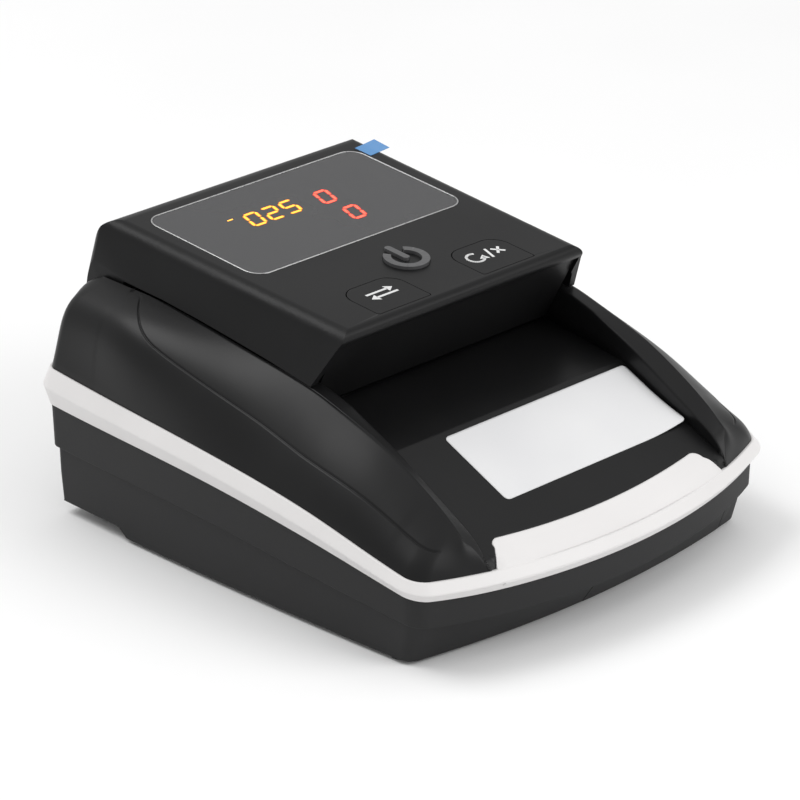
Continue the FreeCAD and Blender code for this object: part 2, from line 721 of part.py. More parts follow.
def symbol(grow, w0, w1):
    """Power symbol: an open ring with a bar in its gap, as an upright solid."""
    outer = post(SYMBOL_R + grow, 0, 0, w0, w1)
    inner = post(SYMBOL_R - SYMBOL_WIDTH - grow, 0, 0, w0 - 1, w1 + 1)
    wedge = Part.Face(Part.makePolygon([V(0, 0, w0 - 1), V(-6.2 + 2 * grow, 9, w0 - 1),
                                        V(6.2 - 2 * grow, 9, w0 - 1),
                                        V(0, 0, w0 - 1)])).extrude(V(0, 0, w1 - w0 + 2))
    arc = outer.cut(inner).cut(wedge)
    bar = rounded_plate(-0.95 - grow, 0.95 + grow, -0.6 - grow, 7.4 + grow, w0, w1, [0.8] * 4)
    pieces = [arc, bar]
    for piece in pieces:
        piece.translate(V(0, SYMBOL_Y, 0))
    return pieces


def key_plate(side, grow, w0, w1):
    x0, x1 = sorted((side * KEY_IN, side * KEY_OUT))
    radii = [0.6, 0.6, 5.0, 5.0]
    return rounded_plate(x0 - grow, x1 + grow, KEY_FRONT - grow, KEY_REAR + grow, w0, w1, radii)


CONTROL_TOP = -6.5        # control board's upper face, below the top face
CONTROL_HALF = 34.5
CONTROL_POSTS = [(-31.0, on_slope(14.5)), (31.0, on_slope(14.5)), (-31.0, 2.2), (31.0, 2.2)]
BUTTON_UNDER = -2.25      # top of the buttons' flanges
BUTTON_FLANGE = 1.0


def head_top_cover():
    """Shell of the head with the display pocket and the openings for the buttons."""
    shell = head_form(0.0).cut(head_form(WALL))
    shell = shell.cut(box(-UNDER_HALF - 0.2, UNDER_HALF + 0.2, -30, -3, 40, FASCIA_Z))
    pocket = rounded_plate(-WINDOW_HALF, WINDOW_HALF, WINDOW_FRONT, 0, -WINDOW_THICK, 5, [5.0] * 4)
    hole = rounded_plate(-WINDOW_HALF + 3, WINDOW_HALF - 3, WINDOW_FRONT + 3, -3, -6, 5, [2.5] * 4)
    tools = [on_top(pocket), on_top(hole)]
    tools += [on_top(piece) for piece in symbol(0.12, -6, 5)]
    tools += [on_top(key_plate(side, KEY_GAP, -6, 5)) for side in (-1, 1)]
    shell = cut(shell, tools)
    for x in (-HEAD_SCREW_X, HEAD_SCREW_X):
        for y in HEAD_SCREW_YS:
            boss = post(2.5, x, y, UNDER_Z + UNDER_WALL, top_z(y) - WINDOW_THICK - 0.3)
            shell = shell.fuse(boss).cut(post(1.0, x, y, UNDER_Z - 1, UNDER_Z + 12))
    for x, v in CONTROL_POSTS:
        shell = shell.fuse(on_top(post(1.8, x, v, CONTROL_TOP, -1.0)))
        shell = shell.cut(on_top(post(0.8, x, v, CONTROL_TOP - 1, CONTROL_TOP + 3.5)))
    for side in (1, -1):
        x0, x1 = sorted((side * (HEAD_BASE_HALF - WALL), side * HEAD_BASE_HALF))
        ear = rod(EAR_R, x0, x1, HINGE_Y, HINGE_Z)
        shell = shell.fuse(ear).cut(rod(HINGE_PIN_R + RUN, x0 - 2, x1 + 2, HINGE_Y, HINGE_Z))
    return shell.removeSplitter()


BRACKET_X = 33.5
AXLE_R = 1.5
AXLE_Z = PATH_Z + 0.5 + PRESS_R
SENSOR_Y = 33.0
SENSOR_HALF_Y = 6.5
SENSOR_XS = (-28.0, -15.0, 15.0, 28.0)
SENSOR_R = 2.0
UPPER_BOARD_Z = 49.4
LEAF_Z = AXLE_Z + AXLE_R + 0.05
LEAF_THICK = 0.3
LEAF_POSTS = [(FRONT_SHAFT_Y, 9.0), (REAR_SHAFT_Y, -9.0)]
UPPER_BOARD_POSTS = [(-31.0, SENSOR_Y - 4.0), (31.0, SENSOR_Y - 4.0), (-31.0, SENSOR_Y + 4.0),
                     (31.0, SENSOR_Y + 4.0)]


def head_lower_cover():
    """Tray that closes the head from below: front wall, roller slots, brackets and board posts."""
    floor = UNDER_Z + UNDER_WALL
    front = FASCIA_Y + 1.0
    foot = front + 0.54 * (FASCIA_Z - UNDER_Z)
    outer = [(front, FASCIA_Z - 0.05), (foot, UNDER_Z), (UNDER_REAR, UNDER_Z), (UNDER_REAR, 56.5),
             (-4, 56.5),
             (-9, FASCIA_Z - 0.05)]
    inner = [(front + 1.8, FASCIA_Z), (foot + 0.9, floor), (UNDER_REAR - UNDER_WALL, floor),
             (UNDER_REAR - UNDER_WALL, 70), (front + 1.8, 70)]
    cover = side_profile(outer, UNDER_HALF).cut(side_profile(inner, UNDER_HALF - UNDER_WALL))
    for y in (FRONT_SHAFT_Y, REAR_SHAFT_Y):
        for side in (1, -1):
            x0, x1 = sorted((side * BRACKET_X, side * (BRACKET_X - 1.6)))
            cover = cover.fuse(box(x0, x1, y - 3.5, y + 3.5, floor - 0.5, AXLE_Z + 3.5))
        for x in ROLLER_XS:
            cover = cover.cut(box(x - 4.6, x + 4.6, y - 5.0, y + 5.0, UNDER_Z - 1, floor + 0.01))
        cover = cover.cut(rod(AXLE_R + RUN, -BRACKET_X - 1, BRACKET_X + 1, y, AXLE_Z))
    for y, away in LEAF_POSTS:
        cover = cover.fuse(post(2.4, 0, y + away, floor - 0.5, LEAF_Z)).cut(post(0.8, 0, y + away,
                                                                                 floor + 1, 60))
    for x, y in UPPER_BOARD_POSTS:
        cover = cover.fuse(post(1.8, x, y, floor - 0.5, UPPER_BOARD_Z)).cut(post(0.8, x, y, floor, 60))
    for x in SENSOR_XS:
        cover = cover.cut(post(SENSOR_R, x, SENSOR_Y, UNDER_Z - 1, floor + 0.01))
    cover = cover.cut(box(-3.6, 3.6, SENSOR_Y - 3.6, SENSOR_Y + 3.6, UNDER_Z - 1, floor + 0.01))
    for x in (-HEAD_SCREW_X, HEAD_SCREW_X):
        for y in HEAD_SCREW_YS:
            cover = cover.cut(post(2.2, x, y, UNDER_Z - 1, UNDER_Z + 0.8)).cut(post(1.1, x, y, UNDER_Z - 1,
                                                                                    floor + 1))
    return cover.removeSplitter()


def screw(x, y, seat, head_r, head_h, shank_r, length, up=True):
    """Pan screw along Z: head below its seat when it points up, above when it points down."""
    if up:
        parts = [post(head_r, x, y, seat - head_h, seat), post(shank_r, x, y, seat - 0.3, seat + length)]
        slot = box(x - head_r, x + head_r, y - 0.25, y + 0.25, seat - head_h - 1, seat - head_h + 0.5)
    else:
        parts = [post(head_r, x, y, seat, seat + head_h), post(shank_r, x, y, seat - length, seat + 0.3)]
        slot = box(x - head_r, x + head_r, y - 0.25, y + 0.25, seat + head_h - 0.5, seat + head_h + 1)
    return fuse(parts).cut(slot)


def display_window():
    gap = 0.1
    return on_top(rounded_plate(-WINDOW_HALF + gap, WINDOW_HALF - gap, WINDOW_FRONT + gap, -gap,
                                0.02 - WINDOW_THICK, -0.02,
                                [4.9] * 4))


def display_film():
    """Clear protective film on the window, with its pull tab at the rear right corner."""
    film = rounded_plate(-WINDOW_HALF + 0.5, WINDOW_HALF - 0.5, WINDOW_FRONT + 0.5, -0.5, 0.0, FILM,
                         [4.5] * 4)
    quad = [(33.0, 54.0), (36.5, 60.2), (45.4, 61.4), (44.9, 55.2)]
    corners = [V(x, on_slope(y), 0.0) for x, y in quad]
    tab = Part.Face(Part.makePolygon(corners + corners[:1])).extrude(V(0, 0, FILM))
    return on_top(film.fuse(tab).removeSplitter())


FILM = 0.12
MODULES = [(-24.0, 2.6, 38.2, 48.4), (4.2, 15.8, 38.2, 48.4), (4.2, 15.8, 27.0, 37.2)]


def digit_modules():
    return group([on_top(box(x0, x1, on_slope(y0), on_slope(y1), CONTROL_TOP, -1.5))
                  for x0, x1, y0, y1 in MODULES])


def control_board():
    board = box(-CONTROL_HALF, CONTROL_HALF, on_slope(-9.0), 4.6, CONTROL_TOP - BOARD_THICK, CONTROL_TOP)
    for x, v in CONTROL_POSTS:
        board = board.cut(post(0.95, x, v, CONTROL_TOP - 5, CONTROL_TOP + 5))
    return on_top(board)


def control_board_screws():
    return group([on_top(screw(x, v, CONTROL_TOP - BOARD_THICK, 1.5, 0.8, 0.8, 4.4))
                  for x, v in CONTROL_POSTS])


SWITCHES = [(0.0, SYMBOL_Y), (-18.3, on_slope(-5.0)), (18.3, on_slope(-5.0))]


def key_switches():
    low = BUTTON_UNDER - BUTTON_FLANGE - KEY_TRAVEL - 0.05
    made = []
    for x, v in SWITCHES:
        body = box(x - 3, x + 3, v - 3, v + 3, CONTROL_TOP, CONTROL_TOP + 1.8)
        made.append(on_top(body.fuse(post(1.6, x, v, CONTROL_TOP + 1.5, low))))
    return group(made)


def power_button():
    flange = post(7.2, 0, SYMBOL_Y, BUTTON_UNDER - BUTTON_FLANGE, BUTTON_UNDER)
    return on_top(fuse([flange] + symbol(0.0, BUTTON_UNDER - 0.3, SYMBOL_UP)))


def key(side):
    flange = key_plate(side, 0.5, BUTTON_UNDER - BUTTON_FLANGE, BUTTON_UNDER)
    flange = flange.cut(box(-60, 60, KEY_FRONT - 3, KEY_FRONT + 0.7, -10, 10))
    return on_top(key_plate(side, 0.0, BUTTON_UNDER - 0.3, 0.0).fuse(flange).removeSplitter())


# ---------------------------------------------------------------------------
# Drive
# ---------------------------------------------------------------------------

def gear(teeth, bore, y, z, phase):
    """Spur gear on an axis along X, with trapezoid teeth."""
    pitch = 2 * math.pi / teeth
    tip = GEAR_MODULE * (teeth / 2 + 1) - 0.05
    root = GEAR_MODULE * (teeth / 2 - 1.25)
    points = []
    for k in range(teeth):
        centre = phase + k * pitch
        for r, part in ((root, -0.29), (tip, -0.12), (tip, 0.12), (root, 0.29)):
            a = centre + part * pitch
            points.append(V(GEAR_X, y + r * math.cos(a), z + r * math.sin(a)))
    body = Part.Face(Part.makePolygon(points + points[:1])).extrude(V(GEAR_WIDTH, 0, 0))
    if teeth > 20:
        for side in (GEAR_X - 1, GEAR_X + GEAR_WIDTH - 1):
            body = body.cut(tube(root - 1.6, bore + 1.8, side, side + 2, y, z))
    return body.cut(rod(bore, GEAR_X - 1, GEAR_X + GEAR_WIDTH + 1, y, z))


def meshed(phase, teeth, direction, next_teeth):
    """Phase of the next gear so that its gap meets the tooth of the first."""
    pitch = 2 * math.pi / teeth
    part = ((direction - phase) / pitch) % 1.0
    return direction + math.pi + (part - 0.5) * 2 * math.pi / next_teeth


PINION_PHASE = 0.2
IDLER_PHASE = meshed(PINION_PHASE, PINION_TEETH, math.pi / 2, IDLER_TEETH)
FRONT_DIRECTION = math.atan2(SHAFT_Z - IDLER_Z, FRONT_SHAFT_Y - MOTOR_Y)
REAR_DIRECTION = math.atan2(SHAFT_Z - IDLER_Z, REAR_SHAFT_Y - MOTOR_Y)
FRONT_PHASE = meshed(IDLER_PHASE, IDLER_TEETH, FRONT_DIRECTION, SHAFT_GEAR_TEETH)
REAR_PHASE = meshed(IDLER_PHASE, IDLER_TEETH, REAR_DIRECTION, SHAFT_GEAR_TEETH)


def side_plate(side):
    """Steel plate that carries the shafts, with two tabs for its screws."""
    def plate_box(x0, x1, y0, y1, z0, z1):
        a, b = sorted((side * x0, side * x1))
        return box(a, b, y0, y1, z0, z1)

    outer = PLATE_X + PLATE_THICK
    plate = plate_box(PLATE_X, outer, 3, 60.5, TAB_Z, PATH_Z - WALL - 0.4)
    plate = plate.makeFillet(4.0, near_edges(plate, lambda a, b: abs(a.x - b.x) > 1 and min(a.z, b.z) > 40))
    for x, y in TAB_POSTS[:1] + TAB_POSTS[2:3]:
        plate = plate.fuse(plate_box(39.2, outer, y - 3, y + 3, TAB_Z, TAB_Z + PLATE_THICK))
    for y in (FRONT_SHAFT_Y, REAR_SHAFT_Y):
        plate = plate.cut(rod(3.0, *sorted((side * (PLATE_X - 1), side * (outer + 1))), y, SHAFT_Z))
    for x, y in TAB_POSTS:
        plate = plate.cut(post(0.95, x, y, 0, 20))
    if side > 0:
        plate = plate.cut(rod(3.0, PLATE_X - 1, outer + 1, MOTOR_Y, MOTOR_Z))
        plate = plate.cut(rod(2.0, PLATE_X - 1, outer + 1, MOTOR_Y, IDLER_Z))
        for y in (MOTOR_Y - 7, MOTOR_Y + 7):
            plate = plate.cut(rod(0.9, PLATE_X - 1, outer + 1, y, MOTOR_Z))
    return plate.removeSplitter()


def shaft_bushes():
    made = []
    for side in (1, -1):
        for y in (FRONT_SHAFT_Y, REAR_SHAFT_Y):
            body = rod(3.0, *sorted((side * PLATE_X, side * (PLATE_X + PLATE_THICK))), y, SHAFT_Z)
            flange = rod(4.0, *sorted((side * (PLATE_X - 0.8), side * PLATE_X)), y, SHAFT_Z)
            bore = rod(SHAFT_R + RUN, *sorted((side * 40, side * 50)), y, SHAFT_Z)
            made.append(body.fuse(flange).cut(bore))
    return group(made)


def drive_rollers(y):
    return group([tube(ROLLER_R, SHAFT_R, x - ROLLER_WIDTH / 2, x + ROLLER_WIDTH / 2, y, SHAFT_Z)
                  for x in ROLLER_XS])


def shaft_clips(y):
    """E-clips that keep a shaft between its bushes."""
    ends = [(-PLATE_X - PLATE_THICK - 0.7, -PLATE_X - PLATE_THICK - 0.1),
            (PLATE_X + PLATE_THICK + 0.1, PLATE_X + PLATE_THICK + 0.7)]
    return group([tube(3.4, SHAFT_R, x0, x1, y, SHAFT_Z).cut(box(x0 - 1, x1 + 1, y - 1.2, y + 1.2, SHAFT_Z,
                                                                 SHAFT_Z + 9))
                  for x0, x1 in ends])


def pressure_rollers(y):
    return group([tube(PRESS_R, AXLE_R, x - ROLLER_WIDTH / 2, x + ROLLER_WIDTH / 2, y, AXLE_Z)
                  for x in ROLLER_XS])


def pressure_springs():
    made = []
    for y, away in LEAF_POSTS:
        y0, y1 = sorted((y - 0.25 * away, y + 1.3 * away))
        strip = box(-2.6, 2.6, y0, y1, LEAF_Z, LEAF_Z + LEAF_THICK)
        made.append(strip.cut(post(0.9, 0, y + away, LEAF_Z - 1, LEAF_Z + 2)))
    return group(made)


def motor():
    """DC motor: can, front boss and terminals, with a bore for its shaft."""
    back = PLATE_X - 28.0
    can = rod(MOTOR_R, back, PLATE_X, MOTOR_Y, MOTOR_Z)
    edges = [e for e in can.Edges if e.Length > 50 and e.BoundBox.XMax < back + 0.1]
    can = can.makeFillet(1.2, edges)
    boss = rod(3.0, PLATE_X, PLATE_X + PLATE_THICK, MOTOR_Y, MOTOR_Z)
    hub = rod(4.0, back - 1.6, back + 1, MOTOR_Y, MOTOR_Z)
    tags = [box(back - 2.6, back + 0.5, y - 0.9, y + 0.9, MOTOR_Z + 5.6, MOTOR_Z + 6.1)
            for y in (29.0, 37.0)]
    body = fuse([can, boss, hub] + tags).cut(rod(1.0 + RUN, back + 12, 60, MOTOR_Y, MOTOR_Z))
    for y in (MOTOR_Y - 7, MOTOR_Y + 7):
        body = body.cut(rod(0.8, PLATE_X - 2.5, 60, y, MOTOR_Z))
    return body


def motor_screws():
    seat = PLATE_X + PLATE_THICK
    return group([rod(1.8, seat, seat + 1.0, y, MOTOR_Z).fuse(rod(0.8, PLATE_X - 2.5, seat + 0.3, y,
                                                                  MOTOR_Z))
                  for y in (MOTOR_Y - 7, MOTOR_Y + 7)])


def idler_pin():
    seat = PLATE_X + PLATE_THICK
    return fuse([rod(2.0, PLATE_X, GEAR_X + GEAR_WIDTH + 0.1, MOTOR_Y, IDLER_Z),
                 rod(3.4, seat, GEAR_X - 0.1, MOTOR_Y, IDLER_Z),
                 rod(3.0, GEAR_X + GEAR_WIDTH + 0.1, GEAR_X + GEAR_WIDTH + 0.9, MOTOR_Y, IDLER_Z)])


def guide_plate():
    """Level bed of the paper path, with roller slots and sensor holes."""
    gap = 0.15
    low = PATH_Z - WALL - 0.2
    plate = box(-BED_HALF + gap, BED_HALF - gap, BED_FRONT + gap, BED_REAR - gap, low, PATH_Z)
    plate = plate.fuse(box(-42.2, 42.2, BED_FRONT - 2, BED_REAR + 2, low - 1.2, low))
    for y in (FRONT_SHAFT_Y, REAR_SHAFT_Y):
        for x in ROLLER_XS:
            plate = plate.cut(box(x - 4.6, x + 4.6, y - 8.2, y + 8.2, 30, 60))
    for x in SENSOR_XS:
        plate = plate.cut(post(SENSOR_R, x, SENSOR_Y, 30, 60))
    for x in (-34.5, 34.5):
        plate = plate.cut(post(0.9, x, SENSOR_Y, low - 2, low + 0.8))
    return plate.removeSplitter()


LOWER_SENSOR_Z = PATH_Z - WALL - 1.4


def sensor_windows(z0, z1):
    return group([post(SENSOR_R, x, SENSOR_Y, z0, z1) for x in SENSOR_XS])


def lower_sensor_board():
    board = box(-37, 37, SENSOR_Y - SENSOR_HALF_Y, SENSOR_Y + SENSOR_HALF_Y, LOWER_SENSOR_Z - BOARD_THICK,
                LOWER_SENSOR_Z)
    for x in (-34.5, 34.5):
        board = board.cut(post(0.9, x, SENSOR_Y, 30, 60))
    return board


def upper_sensor_board():
    board = box(-34, 34, SENSOR_Y - SENSOR_HALF_Y, SENSOR_Y + SENSOR_HALF_Y, UPPER_BOARD_Z,
                UPPER_BOARD_Z + 1.2)
    board = board.cut(box(-4.2, 4.2, SENSOR_Y - 4.2, SENSOR_Y + 4.2, 40, 60))
    for x, y in UPPER_BOARD_POSTS:
        board = board.cut(post(0.85, x, y, 40, 60))
    return board


def magnetic_head():
    """Read head: case with a rounded face toward the paper and a mounting bridge."""
    face = UNDER_Z + 0.1
    case = box(-3.4, 3.4, SENSOR_Y - 3.4, SENSOR_Y + 3.4, face, 53.0)
    case = case.makeFillet(1.0, near_edges(case, lambda a, b: abs(a.x - b.x) > 5
                                           and max(a.z, b.z) < face + 0.1))
    bridge = box(-8.0, 8.0, SENSOR_Y - 2.0, SENSOR_Y + 2.0, UPPER_BOARD_Z + 1.2, UPPER_BOARD_Z + 1.8)
    return case.fuse(bridge).removeSplitter()


# ---------------------------------------------------------------------------
# Electrics in the base
# ---------------------------------------------------------------------------

def board_with(holes, x0, x1, y0, y1, z):
    board = box(x0, x1, y0, y1, z, z + BOARD_THICK)
    for x, y in holes:
        board = board.cut(post(0.95, x, y, z - 1, z + 5))
    return board


def board_chips():
    """Processor, drivers, sockets and capacitors on the main board."""
    z = BOARD_Z + BOARD_THICK
    blocks = [(-24, -12, -4, 8, 1.6), (-4, 2, 2, 10, 1.5), (-30, -25, 14, 22, 1.8), (-6, 4, -13, -8, 5.5),
              (-22, -10, -15, -10.5, 4.5), (-2, 5, 22, 28, 5.0), (-31, -26, -6, 2, 4.5)]
    made = [box(x0, x1, y0, y1, z, z + h) for x0, x1, y0, y1, h in blocks]
    made += [post(r, x, y, z, z + h) for r, x, y,
             h in ((3.0, -17, 28, 9.0), (3.0, -9, 28, 9.0), (2.0, -26, 28, 6.0))]
    return group(made)


def battery_pack():
    pack = box(-3, 48, -53, DOOR_REAR - 1.4, BASE_Z + WALL + 1.3, BASE_Z + WALL + 15)
    return pack.makeFillet(1.5, pack.Edges)


def dc_jack():
    z0 = PORT_Z + BOARD_THICK
    body = box(JACK_X - 4.5, JACK_X + 4.5, 56, 68.0, z0, z0 + 10)
    barrel = Part.makeCylinder(3.6, 2.0, V(JACK_X, 67.9, JACK_Z), V(0, 1, 0))
    bore = Part.makeCylinder(2.75, 20, V(JACK_X, 60, JACK_Z), V(0, 1, 0))
    pin = Part.makeCylinder(0.9, 9, V(JACK_X, 59.5, JACK_Z), V(0, 1, 0))
    return body.fuse(barrel).cut(bore).fuse(pin).removeSplitter()


def usb_port():
    z0 = PORT_Z + BOARD_THICK
    shell = box(USB_X - 4.2, USB_X + 4.2, 61, 69.6, z0, z0 + 3.4)
    shell = shell.cut(box(USB_X - 3.7, USB_X + 3.7, 63, 75, z0 + 0.5, z0 + 2.9))
    return shell.fuse(box(USB_X - 2.6, USB_X + 2.6, 62.5, 68.6, z0 + 1.4, z0 + 2.0)).removeSplitter()


def cord(points, radius, bend):
    """Round wire along straight runs joined by arcs of the bend radius."""
    corners = [V(*p) for p in points]
    edges = []
    start = corners[0]
    for before, corner, after in zip(corners, corners[1:], corners[2:]):
        a = (before - corner).normalize()
        b = (after - corner).normalize()
        half = a.getAngle(b) / 2
        first = corner + a * (bend / math.tan(half))
        last = corner + b * (bend / math.tan(half))
        middle = corner + (a + b).normalize() * (bend / math.sin(half) - bend)
        edges += [Part.makeLine(start, first), Part.Arc(first, middle, last).toShape()]
        start = last
    edges.append(Part.makeLine(start, corners[-1]))
    circle = Part.Wire([Part.makeCircle(radius, corners[0], corners[1] - corners[0])])
    return Part.Wire(edges).makePipeShell([circle], True, True)


def wires():
    """Two wires from the motor's tags and two from the battery, each down to its socket."""
    back = PLATE_X - 28.0 - 2.8
    top = BOARD_Z + BOARD_THICK
    motor_pair = [cord([(back, y, MOTOR_Z + 5.85), (7, y, MOTOR_Z + 5.85), (x, 25, MOTOR_Z + 5.85),
                        (x, 25, top + 5.05)],
                       0.6, 1.4) for y, x in ((29.0, 3.4), (37.0, -0.4))]
    over = BAY_TOP + 3.0
    battery_pair = [cord([(x, DOOR_REAR - 1.35, 13.0), (x, DOOR_REAR + 0.2, 13.0),
                          (x, DOOR_REAR + 0.2, over),
                          (x - 5, -10.5, over), (x - 5, -10.5, top + 5.55)], 0.6, 0.8) for x in (3.0, 5.4)]
    return group(motor_pair), group(battery_pair)


def tray_label():
    """Blank paper label on the tray floor."""
    points = [(-53.0, floor_z(-53.0)), (-31.6, floor_z(-31.6)), (-31.6, floor_z(-31.6) + 0.15),
              (-53.0, floor_z(-53.0) + 0.15)]
    vectors = [V(-22.6, y, z) for y, z in points]
    return Part.Face(Part.makePolygon(vectors + vectors[:1])).extrude(V(64.4, 0, 0))


# ---------------------------------------------------------------------------
# Nodes
# ---------------------------------------------------------------------------

SHELL = lower_shell()
MOTOR_WIRES, BATTERY_WIRES = wires()
SHAFT_END = GEAR_X + GEAR_WIDTH + 0.6

node("lower_case", lower_case(SHELL))
node("battery_door", battery_door(SHELL))
node("belt_trim", belt())
node("upper_case", upper_case())
node("tray_label", tray_label())
node("case_screws", group([screw(x, y, SCREW_SEAT, 2.3, 1.8, SCREW_R, z + 6 - SCREW_SEAT)
                           for x, y, z in SCREW_POSTS]))
node("rubber_feet", group([post(r, x, y, 0, BASE_Z + FOOT_SUNK) for x, y, r in FEET]))
node("battery_pack", battery_pack())
node("battery_wires", BATTERY_WIRES)
node("main_board", board_with(BOARD_POSTS, -37, 9, -18, 40, BOARD_Z))
node("main_board_parts", board_chips())
node("buzzer", post(4.5, -6, 15, BOARD_Z + BOARD_THICK,
                    BOARD_Z + 6).cut(post(1, -6, 15, BOARD_Z + 4, BOARD_Z + 7)))
node("port_board", board_with(PORT_POSTS, -36, 36, 55, 67.6, PORT_Z))
node("board_screws", group([screw(x, y, BOARD_Z + BOARD_THICK, 1.7, 1.0, 0.9, 5.0, False)
                            for x, y in BOARD_POSTS]
                           + [screw(x, y, PORT_Z + BOARD_THICK, 1.7, 1.0, 0.9, 3.0, False)
                              for x, y in PORT_POSTS]))
node("dc_jack", dc_jack())
node("usb_port", usb_port())
node("side_plate_left", side_plate(-1))
node("side_plate_right", side_plate(1))
node("side_plate_screws", group([screw(x, y, TAB_Z + PLATE_THICK, 1.7, 1.0, 0.9, 4.0, False)
                                 for x, y in TAB_POSTS]))
node("shaft_bushes", shaft_bushes())
for name, y, phase in (("front", FRONT_SHAFT_Y, FRONT_PHASE), ("rear", REAR_SHAFT_Y, REAR_PHASE)):
    node(name + "_drive_shaft", rod(SHAFT_R, -PLATE_X - PLATE_THICK - 1.6, SHAFT_END, y, SHAFT_Z))
    node(name + "_drive_rollers", drive_rollers(y))
    node(name + "_shaft_gear", gear(SHAFT_GEAR_TEETH, SHAFT_R, y, SHAFT_Z, phase))
    node(name + "_shaft_clips", shaft_clips(y))
    node(name + "_pressure_axle", rod(AXLE_R, -BRACKET_X - 1.0, BRACKET_X + 1.0, y, AXLE_Z))
    node(name + "_pressure_rollers", pressure_rollers(y))
node("idler_gear", gear(IDLER_TEETH, 2.0 + RUN, MOTOR_Y, IDLER_Z, IDLER_PHASE))
node("idler_pin", idler_pin())
node("motor", motor())
node("motor_screws", motor_screws())
node("motor_wires", MOTOR_WIRES)
node("motor_shaft", rod(1.0, PLATE_X - 14.0, SHAFT_END, MOTOR_Y, MOTOR_Z))
node("motor_pinion", gear(PINION_TEETH, 1.0, MOTOR_Y, MOTOR_Z, PINION_PHASE))
node("guide_plate", guide_plate())
node("lower_sensor_board", lower_sensor_board())
node("lower_sensor_windows", sensor_windows(LOWER_SENSOR_Z + 0.05, PATH_Z - 0.05))
node("head_top_cover", head_top_cover())
node("head_lower_cover", head_lower_cover())
node("head_screws", group([screw(x, y, UNDER_Z + 0.8, 2.1, 0.7, 1.0, 10.0)
                           for x in (-HEAD_SCREW_X, HEAD_SCREW_X)
                           for y in HEAD_SCREW_YS]))
node("hinge_pins", group([rod(HINGE_PIN_R, *sorted((side * 43.9, side * PIN_OUT)), HINGE_Y, HINGE_Z)
                          for side in (1, -1)]))
node("display_window", display_window())
node("display_film", display_film())
node("digit_modules", digit_modules())
node("control_board", control_board())
node("control_board_screws", control_board_screws())
node("key_switches", key_switches())
node("power_button", power_button())
node("left_key", key(-1))
node("right_key", key(1))
node("upper_sensor_board", upper_sensor_board())
node("upper_sensor_windows", sensor_windows(UNDER_Z + 0.05, UNDER_Z + UNDER_WALL))
node("sensor_screws", group([screw(x, y, UPPER_BOARD_Z + 1.2, 1.5, 0.8, 0.8, 2.6, False)
                             for x, y in UPPER_BOARD_POSTS]
                            + [screw(0, y + away, LEAF_Z + LEAF_THICK, 1.6, 0.8, 0.8, 3.0, False)
                               for y, away in LEAF_POSTS]))
node("magnetic_head", magnetic_head())
node("pressure_springs", pressure_springs())

for name, shape in NODES.items():
    shape.exportStep("parts/" + name + ".step")
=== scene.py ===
import json
import math

import bmesh
import bpy
import numpy as np
from mathutils import Matrix, Vector

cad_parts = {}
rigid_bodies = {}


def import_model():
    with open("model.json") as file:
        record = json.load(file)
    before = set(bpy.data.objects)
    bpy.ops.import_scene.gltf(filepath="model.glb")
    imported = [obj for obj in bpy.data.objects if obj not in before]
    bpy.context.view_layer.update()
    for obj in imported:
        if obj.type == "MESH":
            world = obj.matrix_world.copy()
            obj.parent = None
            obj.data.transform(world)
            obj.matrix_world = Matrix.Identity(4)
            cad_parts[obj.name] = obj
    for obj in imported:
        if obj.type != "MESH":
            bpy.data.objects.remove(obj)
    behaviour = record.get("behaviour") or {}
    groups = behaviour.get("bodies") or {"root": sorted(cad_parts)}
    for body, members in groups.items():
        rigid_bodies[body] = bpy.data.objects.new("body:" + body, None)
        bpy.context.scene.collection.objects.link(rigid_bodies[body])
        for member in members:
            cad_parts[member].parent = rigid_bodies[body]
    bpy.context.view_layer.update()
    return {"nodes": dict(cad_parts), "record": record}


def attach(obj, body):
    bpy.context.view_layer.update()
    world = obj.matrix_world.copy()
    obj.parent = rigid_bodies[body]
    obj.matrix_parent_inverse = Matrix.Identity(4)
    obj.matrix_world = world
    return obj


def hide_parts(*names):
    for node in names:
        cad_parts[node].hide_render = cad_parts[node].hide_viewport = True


for leftover in list(bpy.data.objects):
    bpy.data.objects.remove(leftover)
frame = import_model()

MM = 0.001
SAME_POINT = 1e-7         # new vertices closer than this, in metres, are one
SAME_CAD_POINT = 2e-6     # and CAD vertices closer than this are welded

# Outline of the case in plan and the heights along it, in millimetres
SIDE_HALF = 63.0
SIDE_WIDEST_Y = 11.0
SIDE_R = 1350.0
FRONT_Y = -72.4
FRONT_BOW = 11.3
FRONT_BOW_X = 58.5
REAR_Y = 72.4
REAR_R = 1600.0
FRONT_CORNER = 6.5
REAR_CORNER = 4.0
BELT_LOW = [(-76, 17.9), (-66, 18.3), (-57.8, 19.7), (-22.7, 25.2), (12.6, 28.7), (65, 30.6), (76, 30.9)]
BELT_TOP = [(-76, 23.0), (-66, 23.3), (-55.5, 24.8), (-22.3, 32.2), (12.9, 36.6), (64.3, 40.3), (76, 41.1)]
CREST = [(-67.5, 23.0), (-64.5, 27.6), (-60, 32.3), (-52.8, 37.6), (-41.2, 44.0), (-33.6, 47.4),
         (-21.5, 51.3), (-10, 54.4), (18, 58.7), (43, 61.8), (56, 62.6), (76, 62.8)]
WALL_TOP = [(-67.5, 22.0), (-64.9, 26.4), (-61, 30.4), (-55, 34.0), (-47, 38.4), (-35, 45.0),
            (-25.3, 49.4), (-14, 54.2), (-10, 54.4), (76, 62.8)]
CREST_X = 46.4
WALL_X = 42.4
BAY_X = 46.9
WING_THICK = 0.5
BAY_CREST_X = BAY_X + WING_THICK    # the crest beside the bay, with its whole thickness clear of the head
BAY_Y = 57.0
BED_HALF = 40.0
BED_FRONT = -3.0
BED_REAR = 64.0
PATH_Z = 45.0
CREASE_Y = -30.0
THROAT_Y = -4.0
TRAY_SLOPE = 0.45
LIP_FLOOR_Z = 26.0
LIP_FLOOR_Y = -64.0
